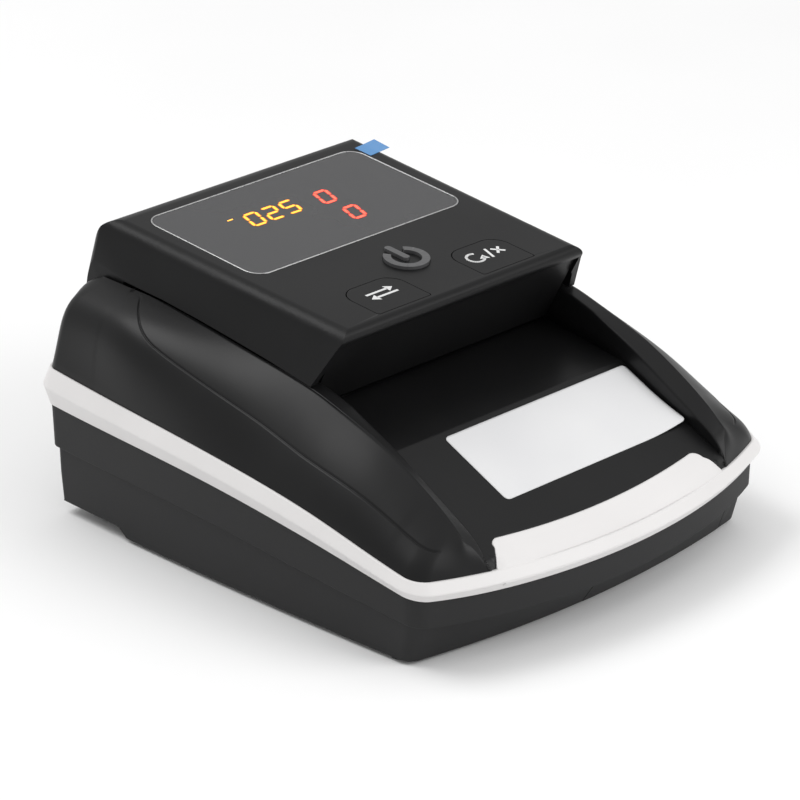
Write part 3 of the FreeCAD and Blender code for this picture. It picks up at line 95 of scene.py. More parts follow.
APRON_Y = -64.7           # the tray floor rounds down to the belt in front of this
APRON_LOW_Z = 22.9
LIP_REAR_Y = -63.0
LIP_BOW = 2.6
LIP_HALF = 36.7
LIP_CORNER = 2.2
LIP_FLARE = 3.4
LIP_END_Y = -66.4
CASE_INSET = 0.45         # the upper case stands this far inside the belt's outline

# Top face of the head, from the display's rear edge
TOP_Z = 75.9
TOP_Y = 60.9
TOP_SLOPE = 0.0875
TILT = math.atan(TOP_SLOPE)
WINDOW_HALF = 36.7
WINDOW_FRONT = (18.8 - TOP_Y) / math.cos(TILT) + 0.1
WINDOW_REAR = -0.1


# ---------------------------------------------------------------------------
# Shape helpers
# ---------------------------------------------------------------------------

def along(table, y):
    """Smooth height at y through a table of (y, z) pairs, by cubic Hermite pieces."""
    if y <= table[0][0]:
        return table[0][1]
    if y >= table[-1][0]:
        return table[-1][1]
    i = max(k for k in range(len(table) - 1) if table[k][0] <= y)
    slopes = []
    for k in (i, i + 1):
        a = table[max(k - 1, 0)]
        b = table[min(k + 1, len(table) - 1)]
        slopes.append((b[1] - a[1]) / (b[0] - a[0]))
    (y0, z0), (y1, z1) = table[i], table[i + 1]
    h = y1 - y0
    t = (y - y0) / h
    start = (1 + 2 * t) * (1 - t) ** 2 * z0 + t * (1 - t) ** 2 * h * slopes[0]
    return start + t * t * (3 - 2 * t) * z1 + t * t * (t - 1) * h * slopes[1]


def smooth(t):
    """Ease from 0 to 1 as t goes from 0 to 1, and hold beyond."""
    t = min(max(t, 0.0), 1.0)
    return t * t * (3 - 2 * t)


def circle_meet(c1, r1, c2, r2, near):
    """The point r1 from c1 and r2 from c2, the nearer to near of the two."""
    dx, dy = c2[0] - c1[0], c2[1] - c1[1]
    d = math.hypot(dx, dy)
    a = (r1 * r1 - r2 * r2 + d * d) / (2 * d)
    h = math.sqrt(r1 * r1 - a * a)
    both = [(c1[0] + (a * dx - k * dy) / d, c1[1] + (a * dy + k * dx) / d) for k in (h, -h)]
    return min(both, key=lambda p: math.dist(p, near))


def stretched(centre, point, radius):
    """Point at radius from centre, in the direction of point."""
    dx, dy = point[0] - centre[0], point[1] - centre[1]
    d = math.hypot(dx, dy)
    return centre[0] + dx * radius / d, centre[1] + dy * radius / d


def arc(centre, start, end, count):
    """Points on a circle from start to end, the short way, without the last."""
    a0 = math.atan2(start[1] - centre[1], start[0] - centre[0])
    a1 = math.atan2(end[1] - centre[1], end[0] - centre[0])
    turn = (a1 - a0 + math.pi) % (2 * math.pi) - math.pi
    r = math.dist(centre, start)
    angles = a0 + turn * np.arange(count) / count
    return np.stack([centre[0] + r * np.cos(angles), centre[1] + r * np.sin(angles)], 1)


def half_outline(grow):
    """Right half of the plan outline grown by grow, from the front's middle to the rear's middle."""
    front_r = (FRONT_BOW_X ** 2 + FRONT_BOW ** 2) / (2 * FRONT_BOW) + grow
    front_c = (0.0, FRONT_Y - grow + front_r)
    side_r = SIDE_R + grow
    side_c = (SIDE_HALF - SIDE_R, SIDE_WIDEST_Y)
    rear_r = REAR_R + grow
    rear_c = (0.0, REAR_Y - REAR_R)
    corner_f = FRONT_CORNER + grow
    corner_r = REAR_CORNER + grow
    low = circle_meet(front_c, front_r - corner_f, side_c, side_r - corner_f, (SIDE_HALF, FRONT_Y))
    high = circle_meet(side_c, side_r - corner_r, rear_c, rear_r - corner_r, (SIDE_HALF, REAR_Y))
    a = stretched(front_c, low, front_r)
    c = stretched(side_c, low, side_r)
    e = stretched(side_c, high, side_r)
    g = stretched(rear_c, high, rear_r)
    runs = [arc(front_c, (0.0, FRONT_Y - grow), a, 120), arc(low, a, c, 24), arc(side_c, c, e, 150),
            arc(high, e, g, 24), arc(rear_c, g, (0.0, REAR_Y + grow), 90), [(0.0, REAR_Y + grow)]]
    return np.concatenate(runs)


def front_edge(x, grow):
    """The y of the bowed front at x."""
    front_r = (FRONT_BOW_X ** 2 + FRONT_BOW ** 2) / (2 * FRONT_BOW) + grow
    return FRONT_Y - grow + front_r - math.sqrt(front_r ** 2 - x * x)


def floor_z(y):
    """Height of the tray floor and of the bed behind it."""
    if y < CREASE_Y:
        return LIP_FLOOR_Z + TRAY_SLOPE * (y - LIP_FLOOR_Y)
    crease = LIP_FLOOR_Z + TRAY_SLOPE * (CREASE_Y - LIP_FLOOR_Y)
    t = min((y - CREASE_Y) / (THROAT_Y - CREASE_Y), 1.0)
    return crease + t * (PATH_Z - crease)


def on_top(x, v, w):
    """Point of the head's tilted top face: x across, v up the slope from the display's rear, w above."""
    y = TOP_Y + v * math.cos(TILT) - w * math.sin(TILT)
    return x, y, TOP_Z + v * math.sin(TILT) + w * math.cos(TILT)


def mesh_object(name, verts, faces, smooth_faces=True, closed=True):
    """New object from millimetre vertices; closed turns all the faces of a closed mesh outwards."""
    mesh = bpy.data.meshes.new(name)
    mesh.from_pydata([tuple(c * MM for c in v) for v in verts], [], [tuple(f) for f in faces])
    bm = bmesh.new()
    bm.from_mesh(mesh)
    bmesh.ops.remove_doubles(bm, verts=bm.verts, dist=SAME_POINT)
    if closed:
        bmesh.ops.recalc_face_normals(bm, faces=bm.faces)
    bm.to_mesh(mesh)
    bm.free()
    mesh.polygons.foreach_set("use_smooth", [smooth_faces] * len(mesh.polygons))
    obj = bpy.data.objects.new(name, mesh)
    bpy.context.collection.objects.link(obj)
    return obj


def grid_faces(rows, columns, start=0):
    """Quads over a grid of vertices that are numbered row by row from start."""
    faces = []
    for i in range(rows - 1):
        for j in range(columns - 1):
            a = start + i * columns + j
            faces.append((a, a + 1, a + columns + 1, a + columns))
    return faces


def add_grid(verts, faces, grid, facing=None):
    """Append a grid, given as rows of points, to a mesh in the making, turned towards facing if given."""
    start = len(verts)
    for row in grid:
        verts.extend(tuple(p) for p in row)
    more = grid_faces(len(grid), len(grid[0]), start)
    if facing:
        total = np.zeros(3)
        for a, b, c, d in more:
            total += np.cross(np.subtract(verts[c], verts[a]), np.subtract(verts[d], verts[b]))
        if total @ np.array(facing) < 0:
            more = [face[::-1] for face in more]
    faces.extend(more)


def add_slab(verts, faces, grid, depth, back=0.0):
    """Append a closed slab: the grid, the same grid depth lower and back further in, and the rim between."""
    rows, columns = len(grid), len(grid[0])
    top = len(verts)
    add_grid(verts, faces, grid)
    low = len(verts)
    add_grid(verts, faces, [[(p[0], p[1] + back, p[2] - depth) for p in row] for row in grid])
    rim = list(range(columns))
    rim += [i * columns + columns - 1 for i in range(1, rows)]
    rim += [(rows - 1) * columns + j for j in range(columns - 2, -1, -1)]
    rim += [i * columns for i in range(rows - 2, 0, -1)]
    for k, a in enumerate(rim):
        b = rim[(k + 1) % len(rim)]
        faces.append((top + a, top + b, low + b, low + a))


def mirrored(verts, faces):
    """The mesh and its mirror image in x = 0."""
    count = len(verts)
    more = [(-x, y, z) for x, y, z in verts]
    return verts + more, faces + [tuple(count + i for i in reversed(f)) for f in faces]


def solidify(obj, thickness):
    """Give an open sheet its thickness, on the side away from where it faces."""
    shell = obj.modifiers.new("shell", "SOLIDIFY")
    shell.thickness = thickness * MM
    shell.offset = -1.0


def soften(obj, width, clamp):
    """Weld, then round the sharp edges by width; clamp keeps it small beside short edges."""
    weld = obj.modifiers.new("weld", "WELD")
    weld.merge_threshold = SAME_CAD_POINT
    bevel = obj.modifiers.new("edges", "BEVEL")
    bevel.width = width * MM
    bevel.segments = 2
    bevel.limit_method = "ANGLE"
    bevel.angle_limit = math.radians(32)
    bevel.harden_normals = False
    bevel.use_clamp_overlap = clamp
    normal = obj.modifiers.new("normals", "WEIGHTED_NORMAL")
    normal.mode = "FACE_AREA"
    normal.keep_sharp = False


# ---------------------------------------------------------------------------
# Materials
# ---------------------------------------------------------------------------

def new_material(name):
    """Material with its node tree, its shader and the object's own coordinates."""
    material = bpy.data.materials.new(name)
    material.use_nodes = True
    tree = material.node_tree
    shader = tree.nodes["Principled BSDF"]
    place = tree.nodes.new("ShaderNodeTexCoord")
    return material, tree, shader, place.outputs["Object"]


def noise(tree, place, scale, detail=2.0, roughness=0.5):
    """Fractal noise, about 0.3 to 0.7."""
    node = tree.nodes.new("ShaderNodeTexNoise")
    node.inputs["Scale"].default_value = scale
    node.inputs["Detail"].default_value = detail
    node.inputs["Roughness"].default_value = roughness
    tree.links.new(place, node.inputs["Vector"])
    return node.outputs["Fac"]


def between(tree, value, low, high, start=0.3, end=0.7):
    """Map value from the range start to end onto low to high."""
    node = tree.nodes.new("ShaderNodeMapRange")
    node.inputs["From Min"].default_value = start
    node.inputs["From Max"].default_value = end
    node.inputs["To Min"].default_value = low
    node.inputs["To Max"].default_value = high
    tree.links.new(value, node.inputs["Value"])
    return node.outputs["Result"]


def colour_mix(tree, factor, first, second):
    node = tree.nodes.new("ShaderNodeMix")
    node.data_type = "RGBA"
    node.inputs["A"].default_value = (*first, 1)
    node.inputs["B"].default_value = (*second, 1)
    tree.links.new(factor, node.inputs["Factor"])
    return node.outputs["Result"]


def bumped(tree, shader, height, distance):
    node = tree.nodes.new("ShaderNodeBump")
    node.inputs["Strength"].default_value = 1.0
    node.inputs["Distance"].default_value = distance * MM
    tree.links.new(height, node.inputs["Height"])
    tree.links.new(node.outputs["Normal"], shader.inputs["Normal"])


def moulded(name, colour, rough, spread, grain, depth, tint=0.12, specular=0.5):
    """Moulded plastic or rubber: fine grain in relief, with a slow drift of colour and gloss."""
    material, tree, shader, place = new_material(name)
    slow = noise(tree, place, 38.0, 3.0)
    dark = tuple(c * (1 - tint) for c in colour)
    light = tuple(min(c * (1 + tint), 1.0) for c in colour)
    tree.links.new(colour_mix(tree, between(tree, slow, 0, 1), dark, light), shader.inputs["Base Color"])
    fine = noise(tree, place, grain, 3.0, 0.6)
    both = tree.nodes.new("ShaderNodeMath")
    both.operation = "MULTIPLY_ADD"
    tree.links.new(fine, both.inputs[0])
    both.inputs[1].default_value = 0.35
    tree.links.new(slow, both.inputs[2])
    gloss = between(tree, both.outputs[0], rough - spread, rough + spread, 0.4, 0.95)
    tree.links.new(gloss, shader.inputs["Roughness"])
    shader.inputs["Specular IOR Level"].default_value = specular
    if depth:
        bumped(tree, shader, fine, depth)
    return material


def metal(name, colour, rough, stretch=(1, 1, 1), grain=900.0, depth=0.004):
    """Metal with fine lines drawn along one direction."""
    material, tree, shader, place = new_material(name)
    mapping = tree.nodes.new("ShaderNodeMapping")
    mapping.inputs["Scale"].default_value = stretch
    tree.links.new(place, mapping.inputs["Vector"])
    lines = noise(tree, mapping.outputs["Vector"], grain, 4.0, 0.65)
    tree.links.new(colour_mix(tree, between(tree, lines, 0, 1), tuple(c * 0.8 for c in colour), colour),
                   shader.inputs["Base Color"])
    tree.links.new(between(tree, lines, rough - 0.08, rough + 0.1), shader.inputs["Roughness"])
    shader.inputs["Metallic"].default_value = 1.0
    bumped(tree, shader, lines, depth)
    return material


def board_material():
    """Green solder mask over copper tracks."""
    material, tree, shader, place = new_material("solder_mask")
    mapping = tree.nodes.new("ShaderNodeMapping")
    mapping.inputs["Scale"].default_value = (330, 330, 1)
    tree.links.new(place, mapping.inputs["Vector"])
    brick = tree.nodes.new("ShaderNodeTexBrick")
    brick.inputs["Scale"].default_value = 1.0
    brick.inputs["Mortar Size"].default_value = 0.06
    brick.inputs["Color1"].default_value = (0.008, 0.075, 0.032, 1)
    brick.inputs["Color2"].default_value = (0.010, 0.095, 0.040, 1)
    brick.inputs["Mortar"].default_value = (0.02, 0.17, 0.07, 1)
    tree.links.new(mapping.outputs["Vector"], brick.inputs["Vector"])
    tree.links.new(brick.outputs["Color"], shader.inputs["Base Color"])
    shader.inputs["Roughness"].default_value = 0.32
    bumped(tree, shader, brick.outputs["Fac"], 0.02)
    return material


def sleeve_material():
    """Shrink sleeve with slight wrinkles."""
    material, tree, shader, place = new_material("battery_sleeve")
    folds = noise(tree, place, 140.0, 4.0, 0.55)
    tree.links.new(colour_mix(tree, between(tree, folds, 0, 1), (0.012, 0.05, 0.20), (0.02, 0.08, 0.30)),
                   shader.inputs["Base Color"])
    shader.inputs["Roughness"].default_value = 0.28
    bumped(tree, shader, folds, 0.12)
    return material


def clear_material(name, tint, cover, rough=0.08, blue_from=None):
    """Clear film or lens: mostly see-through, with its own reflection; beyond blue_from it is tinted."""
    material, tree, shader, place = new_material(name)
    grime = noise(tree, place, 90.0, 3.0)
    tree.links.new(between(tree, grime, rough, rough + 0.05), shader.inputs["Roughness"])
    shader.inputs["Base Color"].default_value = (*tint, 1)
    shader.inputs["Specular IOR Level"].default_value = 0.45
    if blue_from is None:
        shader.inputs["Alpha"].default_value = cover
    else:
        split = tree.nodes.new("ShaderNodeSeparateXYZ")
        tree.links.new(place, split.inputs["Vector"])
        beyond = between(tree, split.outputs["X"], 0, 1, (blue_from - 0.05) * MM, (blue_from + 0.05) * MM)
        tree.links.new(colour_mix(tree, beyond, tint, (0.10, 0.30, 0.62)), shader.inputs["Base Color"])
        alpha = between(tree, beyond, cover, 0.86, 0, 1)
        tree.links.new(alpha, shader.inputs["Alpha"])
    return material


def lit_material(name, colour, strength):
    """Lit display segment, slightly uneven along its length."""
    material, tree, shader, place = new_material(name)
    uneven = noise(tree, place, 700.0, 1.0)
    glow = between(tree, uneven, strength * 0.85, strength * 1.15)
    tree.links.new(glow, shader.inputs["Emission Strength"])
    shader.inputs["Emission Color"].default_value = (*colour, 1)
    shader.inputs["Base Color"].default_value = (*[c * 0.4 for c in colour], 1)
    return material


def paper_material():
    """White paper with fine fibres."""
    material, tree, shader, place = new_material("label_paper")
    fibre = noise(tree, place, 1500.0, 5.0, 0.7)
    cloud = noise(tree, place, 30.0, 2.0)
    tree.links.new(colour_mix(tree, between(tree, cloud, 0, 1), (0.69, 0.69, 0.70), (0.75, 0.75, 0.755)),
                   shader.inputs["Base Color"])
    tree.links.new(between(tree, fibre, 0.42, 0.56), shader.inputs["Roughness"])
    bumped(tree, shader, fibre, 0.012)
    return material


SHELL = moulded("shell_plastic", (0.0065, 0.0065, 0.0068), 0.36, 0.05, 2300.0, 0.010, specular=0.24)
HEAD = moulded("head_plastic", (0.0065, 0.0065, 0.0068), 0.38, 0.05, 2300.0, 0.010, specular=0.20)
CASE = moulded("case_plastic", (0.018, 0.018, 0.0185), 0.55, 0.06, 1900.0, 0.020, specular=0.25)
WHITE = moulded("belt_plastic", (0.74, 0.725, 0.72), 0.40, 0.05, 1500.0, 0.006, 0.02, specular=0.4)
RUBBER = moulded("foot_rubber", (0.012, 0.012, 0.012), 0.75, 0.08, 1200.0, 0.04)
SYMBOL = moulded("symbol_rubber", (0.085, 0.085, 0.087), 0.34, 0.08, 1400.0, 0.05, 0.25)
ROLLER = moulded("roller_rubber", (0.045, 0.045, 0.048), 0.72, 0.08, 1000.0, 0.04)
ACETAL = moulded("acetal", (0.76, 0.75, 0.71), 0.42, 0.05, 900.0, 0.006, 0.03)
DARK = moulded("component_plastic", (0.016, 0.016, 0.017), 0.5, 0.08, 1500.0, 0.01)
WINDOW = moulded("window_acrylic", (0.045, 0.045, 0.047), 0.24, 0.0, 1200.0, 0.0, 0.02, 0.5)
KEY = moulded("key_plastic", (0.0065, 0.0065, 0.0068), 0.40, 0.05, 2300.0, 0.010, specular=0.20)
WIRE = moulded("wire_insulation", (0.30, 0.015, 0.012), 0.4, 0.05, 800.0, 0.01)
MARK = moulded("printed_mark", (0.72, 0.72, 0.72), 0.5, 0.05, 2000.0, 0.004, 0.04)
STEEL = metal("bright_steel", (0.56, 0.56, 0.57), 0.28)
SHEET = metal("zinc_sheet", (0.50, 0.51, 0.53), 0.40, (1, 1, 14), 420.0, 0.003)
BRONZE = metal("sintered_bronze", (0.52, 0.34, 0.16), 0.42)
SILVER = metal("silver_line", (0.62, 0.62, 0.62), 0.30)
BOARD = board_material()
SLEEVE = sleeve_material()
LENS = clear_material("sensor_lens", (0.75, 0.80, 0.84), 0.45)
FILM = clear_material("clear_film", (0.55, 0.58, 0.60), 0.0, 0.16, WINDOW_HALF + 0.5)
PAPER = paper_material()
AMBER = lit_material("lit_amber", (1.0, 0.42, 0.04), 2.4)
RED = lit_material("lit_red", (1.0, 0.10, 0.06), 2.6)
# Halo materials: painted glow, faintly lit, for the light spreading round the lit figures
AMBER_HALO = lit_material("halo_amber", (1.0, 0.30, 0.02), 0.16)
RED_HALO = lit_material("halo_red", (1.0, 0.06, 0.03), 0.20)

# The CAD's material slots, and the few nodes with a finish of their own
FINISH = {
    "case_grey": CASE, "trim_white": WHITE, "shell_black": SHELL, "label": PAPER, "steel": STEEL,
    "rubber_black": RUBBER, "battery": SLEEVE, "wire": WIRE, "board": BOARD, "component": DARK,
    "connector": DARK, "plate_steel": SHEET, "bronze": BRONZE, "roller_rubber": ROLLER, "acetal": ACETAL,
    "window": WINDOW, "film": FILM, "display_module": DARK, "lens": LENS, "magnet_head": SHEET,
}
OWN = {"head_top_cover": HEAD, "left_key": KEY, "right_key": KEY, "power_button": SYMBOL}
# How far the edges of these nodes are rounded, in millimetres
EDGES = {
    "head_top_cover": 0.3, "head_lower_cover": 0.4, "lower_case": 0.25, "battery_door": 0.12,
    "belt_trim": 0.35, "left_key": 0.12, "right_key": 0.12, "power_button": 0.22, "display_window": 0.15,
    "guide_plate": 0.3,
}

slots = {part["node"]: part["material_slot"] for part in frame["record"]["subparts"]}
for node, obj in frame["nodes"].items():
    obj.data.materials.clear()
    obj.data.materials.append(OWN.get(node, FINISH[slots[node]]))
for node, width in EDGES.items():
    soften(frame["nodes"][node], width, clamp=node != "lower_case")


def finished(obj, material, body):
    """Give a new piece its material and the body that it rides on."""
    obj.data.materials.append(material)
    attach(obj, body)


# ---------------------------------------------------------------------------
# Upper case: two wings with their line, the tray floor and the bay
# ---------------------------------------------------------------------------

# The engraved line along each wing: place along the case and share of the way up the dome
LINE = [(-64.0, 0.60), (-62.3, 0.57), (-58.6, 0.49), (-41.3, 0.47), (-18.3, 0.44), (-0.4, 0.49),
        (16.8, 0.53), (33.5, 0.59), (39.0, 0.66), (44.2, 0.81), (49.5, 0.99)]
LINE_DEPTH = 0.30
LINE_FRONT_X = 57.0       # the line starts where the outline turns past this
LINE_FADE = 2.5
# Across the line: distance from its middle, and share of its depth
LINE_OFFSETS = (-0.62, -0.34, -0.16, 0.0, 0.16, 0.34, 0.62)
LINE_DEPTHS = (0.0, 0.0, 0.8, 1.0, 0.8, 0.0, 0.0)
DOME_ROWS = 18            # rows on each side of the line
# Slopes of the dome in degrees, at its foot and at its crest: in front, then what is added towards the
# rear, where the dome swells beside the tray, and at its tail
FOOT_SLOPES = np.array([62, 27, 14, -14])
CREST_SLOPES = np.array([43, -39, -13, 14])
# How far the dome's poles stand off, as shares of its reach: in front, and what the rear adds
FULLNESS = (0.33, 0.2)
CREST_FRONT_Y = -61.0
CREST_REAR_Y = 64.0
FAN_FRONT_Y = -50.0       # beyond these two the sections fan out round the crest's ends
FAN_REAR_Y = 52.0
WING_FOOT_SINK = 0.25     # the wing's foot goes into the belt
SKIRT_DROP = 1.5
BAY_CHAMFER = 0.35
BAY_LOW_Z = PATH_Z - 1.0


def crest(y):
    """Point of the wing's crest."""
    x = CREST_X + (BAY_CREST_X - CREST_X) * smooth((y - 38.0) / 18.5)
    return np.array([x, y, along(CREST, y)])


def dome_curve(foot, y):
    """Poles of the wing's section from its foot on the belt to the crest at y, and its reach."""
    top = crest(y)
    flat = np.array([foot[0] - top[0], foot[1] - top[1]])
    span = np.linalg.norm(flat)
    away = flat / max(span, 1e-6)
    reach = math.hypot(span, top[2] - foot[2])
    rearward = smooth((y + 15) / 65)
    swell = math.exp(-((y + 40) / 25) ** 2)
    tail = smooth((y - 36) / 26)
    shares = np.array([1, rearward, swell, tail])
    rise = math.radians(FOOT_SLOPES @ shares)
    fall = math.radians(CREST_SLOPES @ shares)
    pull = reach * (FULLNESS[0] + FULLNESS[1] * rearward)
    low = foot + pull * np.array([*(-away * math.cos(rise)), math.sin(rise)])
    high = top + pull * np.array([*(away * math.cos(fall)), -math.sin(fall)])
    return foot, low, high, top, reach


def dome_points(poles, line, depth):
    """Points up one section, with the engraved line pressed in by depth at share line."""
    p0, p1, p2, p3, reach = poles
    step = 1.0 / max(reach, 6.0)
    limit = 1 - 0.9 * step
    strength = depth * smooth((limit - line) / 0.04)
    line = min(line, limit)
    shares = list(np.linspace(0, line + LINE_OFFSETS[0] * step, DOME_ROWS, endpoint=False))
    shares += [line + o * step for o in LINE_OFFSETS]
    shares += list(np.linspace(line + LINE_OFFSETS[-1] * step, 1, DOME_ROWS + 1))[1:]
    t = np.clip(np.array(shares), 0, 1)[:, None]
    points = (1 - t) ** 3 * p0 + 3 * t * (1 - t) ** 2 * p1 + 3 * t * t * (1 - t) * p2 + t ** 3 * p3
    slope = 3 * (1 - t) ** 2 * (p1 - p0) + 6 * t * (1 - t) * (p2 - p1) + 3 * t * t * (p3 - p2)
    side = np.array([-(p3 - p0)[1], (p3 - p0)[0], 0.0])
    side = side / max(np.linalg.norm(side), 1e-6)
    out = np.cross(slope, side)
    out = out / np.maximum(np.linalg.norm(out, axis=1, keepdims=True), 1e-9)
    for k, share in enumerate(LINE_DEPTHS):
        row = DOME_ROWS + k
        inward = -out[row] if out[row][2] > 0 else out[row]
        points[row] = points[row] + inward * share * strength
    return points


def wall_row(top, corner):
    """Points across the crest band from top to corner, and on down the inner wall."""
    x, y, z = corner
    low = min(floor_z(y) - 1.2, z - 0.6)
    row = [top + (corner - top) * f for f in (0, 0.12, 0.3, 0.6, 0.86)]
    row += [corner + np.array([0.12, 0, -0.05]), corner + np.array([0.0, 0, -0.35])]
    row += [np.array([x, y, z + (low - z) * f]) for f in (0.15, 0.5, 1.0)]
    return row


def wing_sections():
    """Rows of points up the right wing's dome, from its front end round to its rear end."""
    edge = half_outline(-CASE_INSET)
    beside_bay = (edge[:, 1] < 0) | (edge[:, 0] >= BAY_CREST_X + 0.05)
    edge = edge[(edge[:, 0] >= WALL_X) & beside_bay]
    edge = np.concatenate([[(WALL_X, front_edge(WALL_X, -CASE_INSET))], edge])
    travel = np.concatenate([[0], np.cumsum(np.linalg.norm(np.diff(edge, axis=0), axis=1))])
    on_side = edge[:, 0] > 50
    front_stop = travel[np.argmax((edge[:, 1] > FAN_FRONT_Y) & on_side)]
    rear_start = travel[np.argmax((edge[:, 1] > FAN_REAR_Y) & on_side)]
    line_start = travel[np.argmax(edge[:, 0] > LINE_FRONT_X)]
    sections = []
    for (x, y), s in zip(edge, travel):
        if s < front_stop:
            crest_y = CREST_FRONT_Y + (FAN_FRONT_Y - CREST_FRONT_Y) * (s / front_stop) ** 2.4
        elif s > rear_start:
            left = 1 - (s - rear_start) / (travel[-1] - rear_start)
            crest_y = FAN_REAR_Y + (CREST_REAR_Y - FAN_REAR_Y) * (1 - left ** 2)
        else:
            crest_y = y
        foot = np.array([x, y, along(BELT_TOP, y) - WING_FOOT_SINK])
        depth = LINE_DEPTH * smooth((s - line_start) / LINE_FADE)
        sections.append(dome_points(dome_curve(foot, crest_y), along(LINE, y), depth))
    return sections


def crest_band(nose):
    """Rows across the crest band and down the inner wall, from the bay forward and down the nose."""
    band = []
    for y in np.linspace(BAY_Y - 0.02, CREST_FRONT_Y, 140):
        top = crest(y)
        under_head = 1.6 * smooth((y + 2.0) / 12.0)
        band.append(wall_row(top, np.array([WALL_X, y, min(along(WALL_TOP, y), top[2]) - under_head])))
    drop = nose[0][2] - min(along(WALL_TOP, CREST_FRONT_Y), nose[0][2])
    for p in nose[1:]:
        share = (p[0] - WALL_X) / (nose[0][0] - WALL_X)
        band.append(wall_row(p, np.array([min(WALL_X, p[0] - 0.7), p[1], p[2] - drop * share - 0.05])))
    return band


def wing_mesh():
    """Right wing as open sheets: dome, crest band with the inner wall, and the bay's walls."""
    verts, faces = [], []
    sections = wing_sections()
    skirt = [[(p[0][0] * 0.997, p[0][1] * 0.997, p[0][2] - SKIRT_DROP), *p] for p in sections]
    add_grid(verts, faces, skirt, (1, 0, 1))
    band = crest_band(sections[0][::-1])
    add_grid(verts, faces, band, (-1, 0, 1))
    bay = []
    for y in np.linspace(BAY_Y, CREST_REAR_Y, 12):
        top = crest(y)
        bay.append([top, (BAY_X, y, top[2] - BAY_CHAMFER), (BAY_X, y, BAY_LOW_Z)])
    add_grid(verts, faces, bay, (-1, 0, 0))
    end = []
    for p in sections[-1][::-1]:
        inner = max(BAY_X, p[0] - 0.3)
        end.append([p, (inner, p[1], p[2] - 0.2), (BAY_X, p[1], min(p[2] - 0.5, BAY_LOW_Z))])
    add_grid(verts, faces, end, (-1, 0, 0))
    step = [[p, (p[0], BAY_Y, BAY_LOW_Z)] for p in band[0][:6]]
    add_grid(verts, faces, step, (0, 1, 0))
    return verts, faces


def lip_edge(x):
    """Where the tray floor ends in front: at the lip's rear edge, or at the belt beside the lip."""
    x = abs(x)
    bow_x = LIP_HALF - LIP_CORNER
    bow_r = (bow_x ** 2 + LIP_BOW ** 2) / (2 * LIP_BOW)
    if x <= bow_x:
        return LIP_REAR_Y + bow_r - math.sqrt(bow_r ** 2 - x * x)
    turn_x = LIP_HALF + 0.3
    if x <= turn_x:
        turn = (x - bow_x) / (turn_x - bow_x)
        return LIP_REAR_Y + LIP_BOW - LIP_CORNER * (1 - math.sqrt(max(1 - turn ** 2, 0)))
    turn_y = LIP_REAR_Y + LIP_BOW - LIP_CORNER
    if x <= LIP_HALF + LIP_FLARE:
        return turn_y + (LIP_END_Y - turn_y) * (x - turn_x) / (LIP_HALF + LIP_FLARE - turn_x)
    return front_edge(x, -CASE_INSET)


def floor_surface(y):
    """Height of the tray floor, which rounds down to the belt at its front."""
    if y >= APRON_Y:
        return floor_z(y)
    return floor_z(APRON_Y) - (floor_z(APRON_Y) - APRON_LOW_Z) * smooth((APRON_Y - y) / 1.7)


def stations(middle_count, outer):
    """Places across the case from left to right, closest at the corners of the lip."""
    right = [*np.linspace(0, 33, middle_count), *np.linspace(34, 37, 16), *outer]
    return [-x for x in right[:0:-1]] + right


def floor_mesh():
    """Tray floor, the strips beside the bed and the floor of the bay."""
    verts, faces = [], []
    under_wall = WALL_X + 0.5
    xs = stations(20, np.linspace(37.2, under_wall, 24))
    level_y = -58.0
    ys = [BED_FRONT, -3.6, THROAT_Y, -8, -14, -20, -25, -28.6, -29.6, CREASE_Y, -30.4, -31.4]
    ys += list(np.linspace(-34, level_y, 13))
    grid = [[(x, y, floor_surface(y)) for x in xs] for y in ys]
    for f in (0.2, 0.4, 0.6, 0.75, 0.85, 0.92, 0.96, 1.0):
        row = []
        for x in xs:
            y = level_y + (lip_edge(x) + 0.1 - level_y) * f
            row.append((x, y, floor_surface(y) - (0.05 if f == 1.0 else 0.0)))
        grid.append(row)
    for drop in (0.3, 2.0):
        grid.append([(x, lip_edge(x) + 0.02, floor_surface(lip_edge(x)) - drop) for x in xs])
    add_grid(verts, faces, grid)
    for side in (1, -1):
        strip = [[(side * x, y, floor_z(y)) for x in (BED_HALF, 41.2, under_wall)]
                 for y in np.linspace(BED_REAR, BED_FRONT, 24)]
        add_grid(verts, faces, strip)
        shelf = [[(side * x, y, PATH_Z) for x in (under_wall, 45.0, BAY_X + 0.3)]
                 for y in (BAY_Y, 60.0, BED_REAR)]
        add_grid(verts, faces, shelf)
    rear = [(BED_REAR, PATH_Z), (67.0, PATH_Z), (70.0, PATH_Z), (REAR_Y - 0.6, PATH_Z - 0.25),
            (REAR_Y - 0.25, PATH_Z - 1.0), (REAR_Y - 0.2, 39.8)]
    bay_xs = np.linspace(-BAY_X - 0.3, BAY_X + 0.3, 31)
    add_grid(verts, faces, [[(x, y, z) for x in bay_xs] for y, z in rear])
    return verts, faces


wings = mesh_object("wings", *mirrored(*wing_mesh()), closed=False)
solidify(wings, WING_THICK)
finished(wings, SHELL, "base")
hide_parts("upper_case")
tray = mesh_object("tray_floor", *floor_mesh())
solidify(tray, 1.8)
finished(tray, SHELL, "base")


# ---------------------------------------------------------------------------
# Belt with its ridge, and the lip in front
# ---------------------------------------------------------------------------

RIDGE = 1.85              # the belt's ridge stands this far outside the outline
# Across the belt: outward from the outline, and share of the way from its lower to its upper edge
BELT_PROFILE = [(-0.9, 0.012), (0.05, 0.0), (0.26, 0.012), (0.36, 0.045), (0.90, 0.22), (1.40, 0.38),
                (1.66, 0.45), (1.78, 0.485), (RIDGE, 0.515), (1.74, 0.56), (1.50, 0.62), (0.95, 0.76),
                (0.40, 0.90), (0.20, 0.955), (0.06, 0.992), (-0.12, 1.0), (-0.9, 0.99)]
RIDGE_Z = 20.45           # height of the belt's ridge in front
ROLL_LENGTH = 6.4
LIP_ROWS = 32
LIP_THICK = 1.6


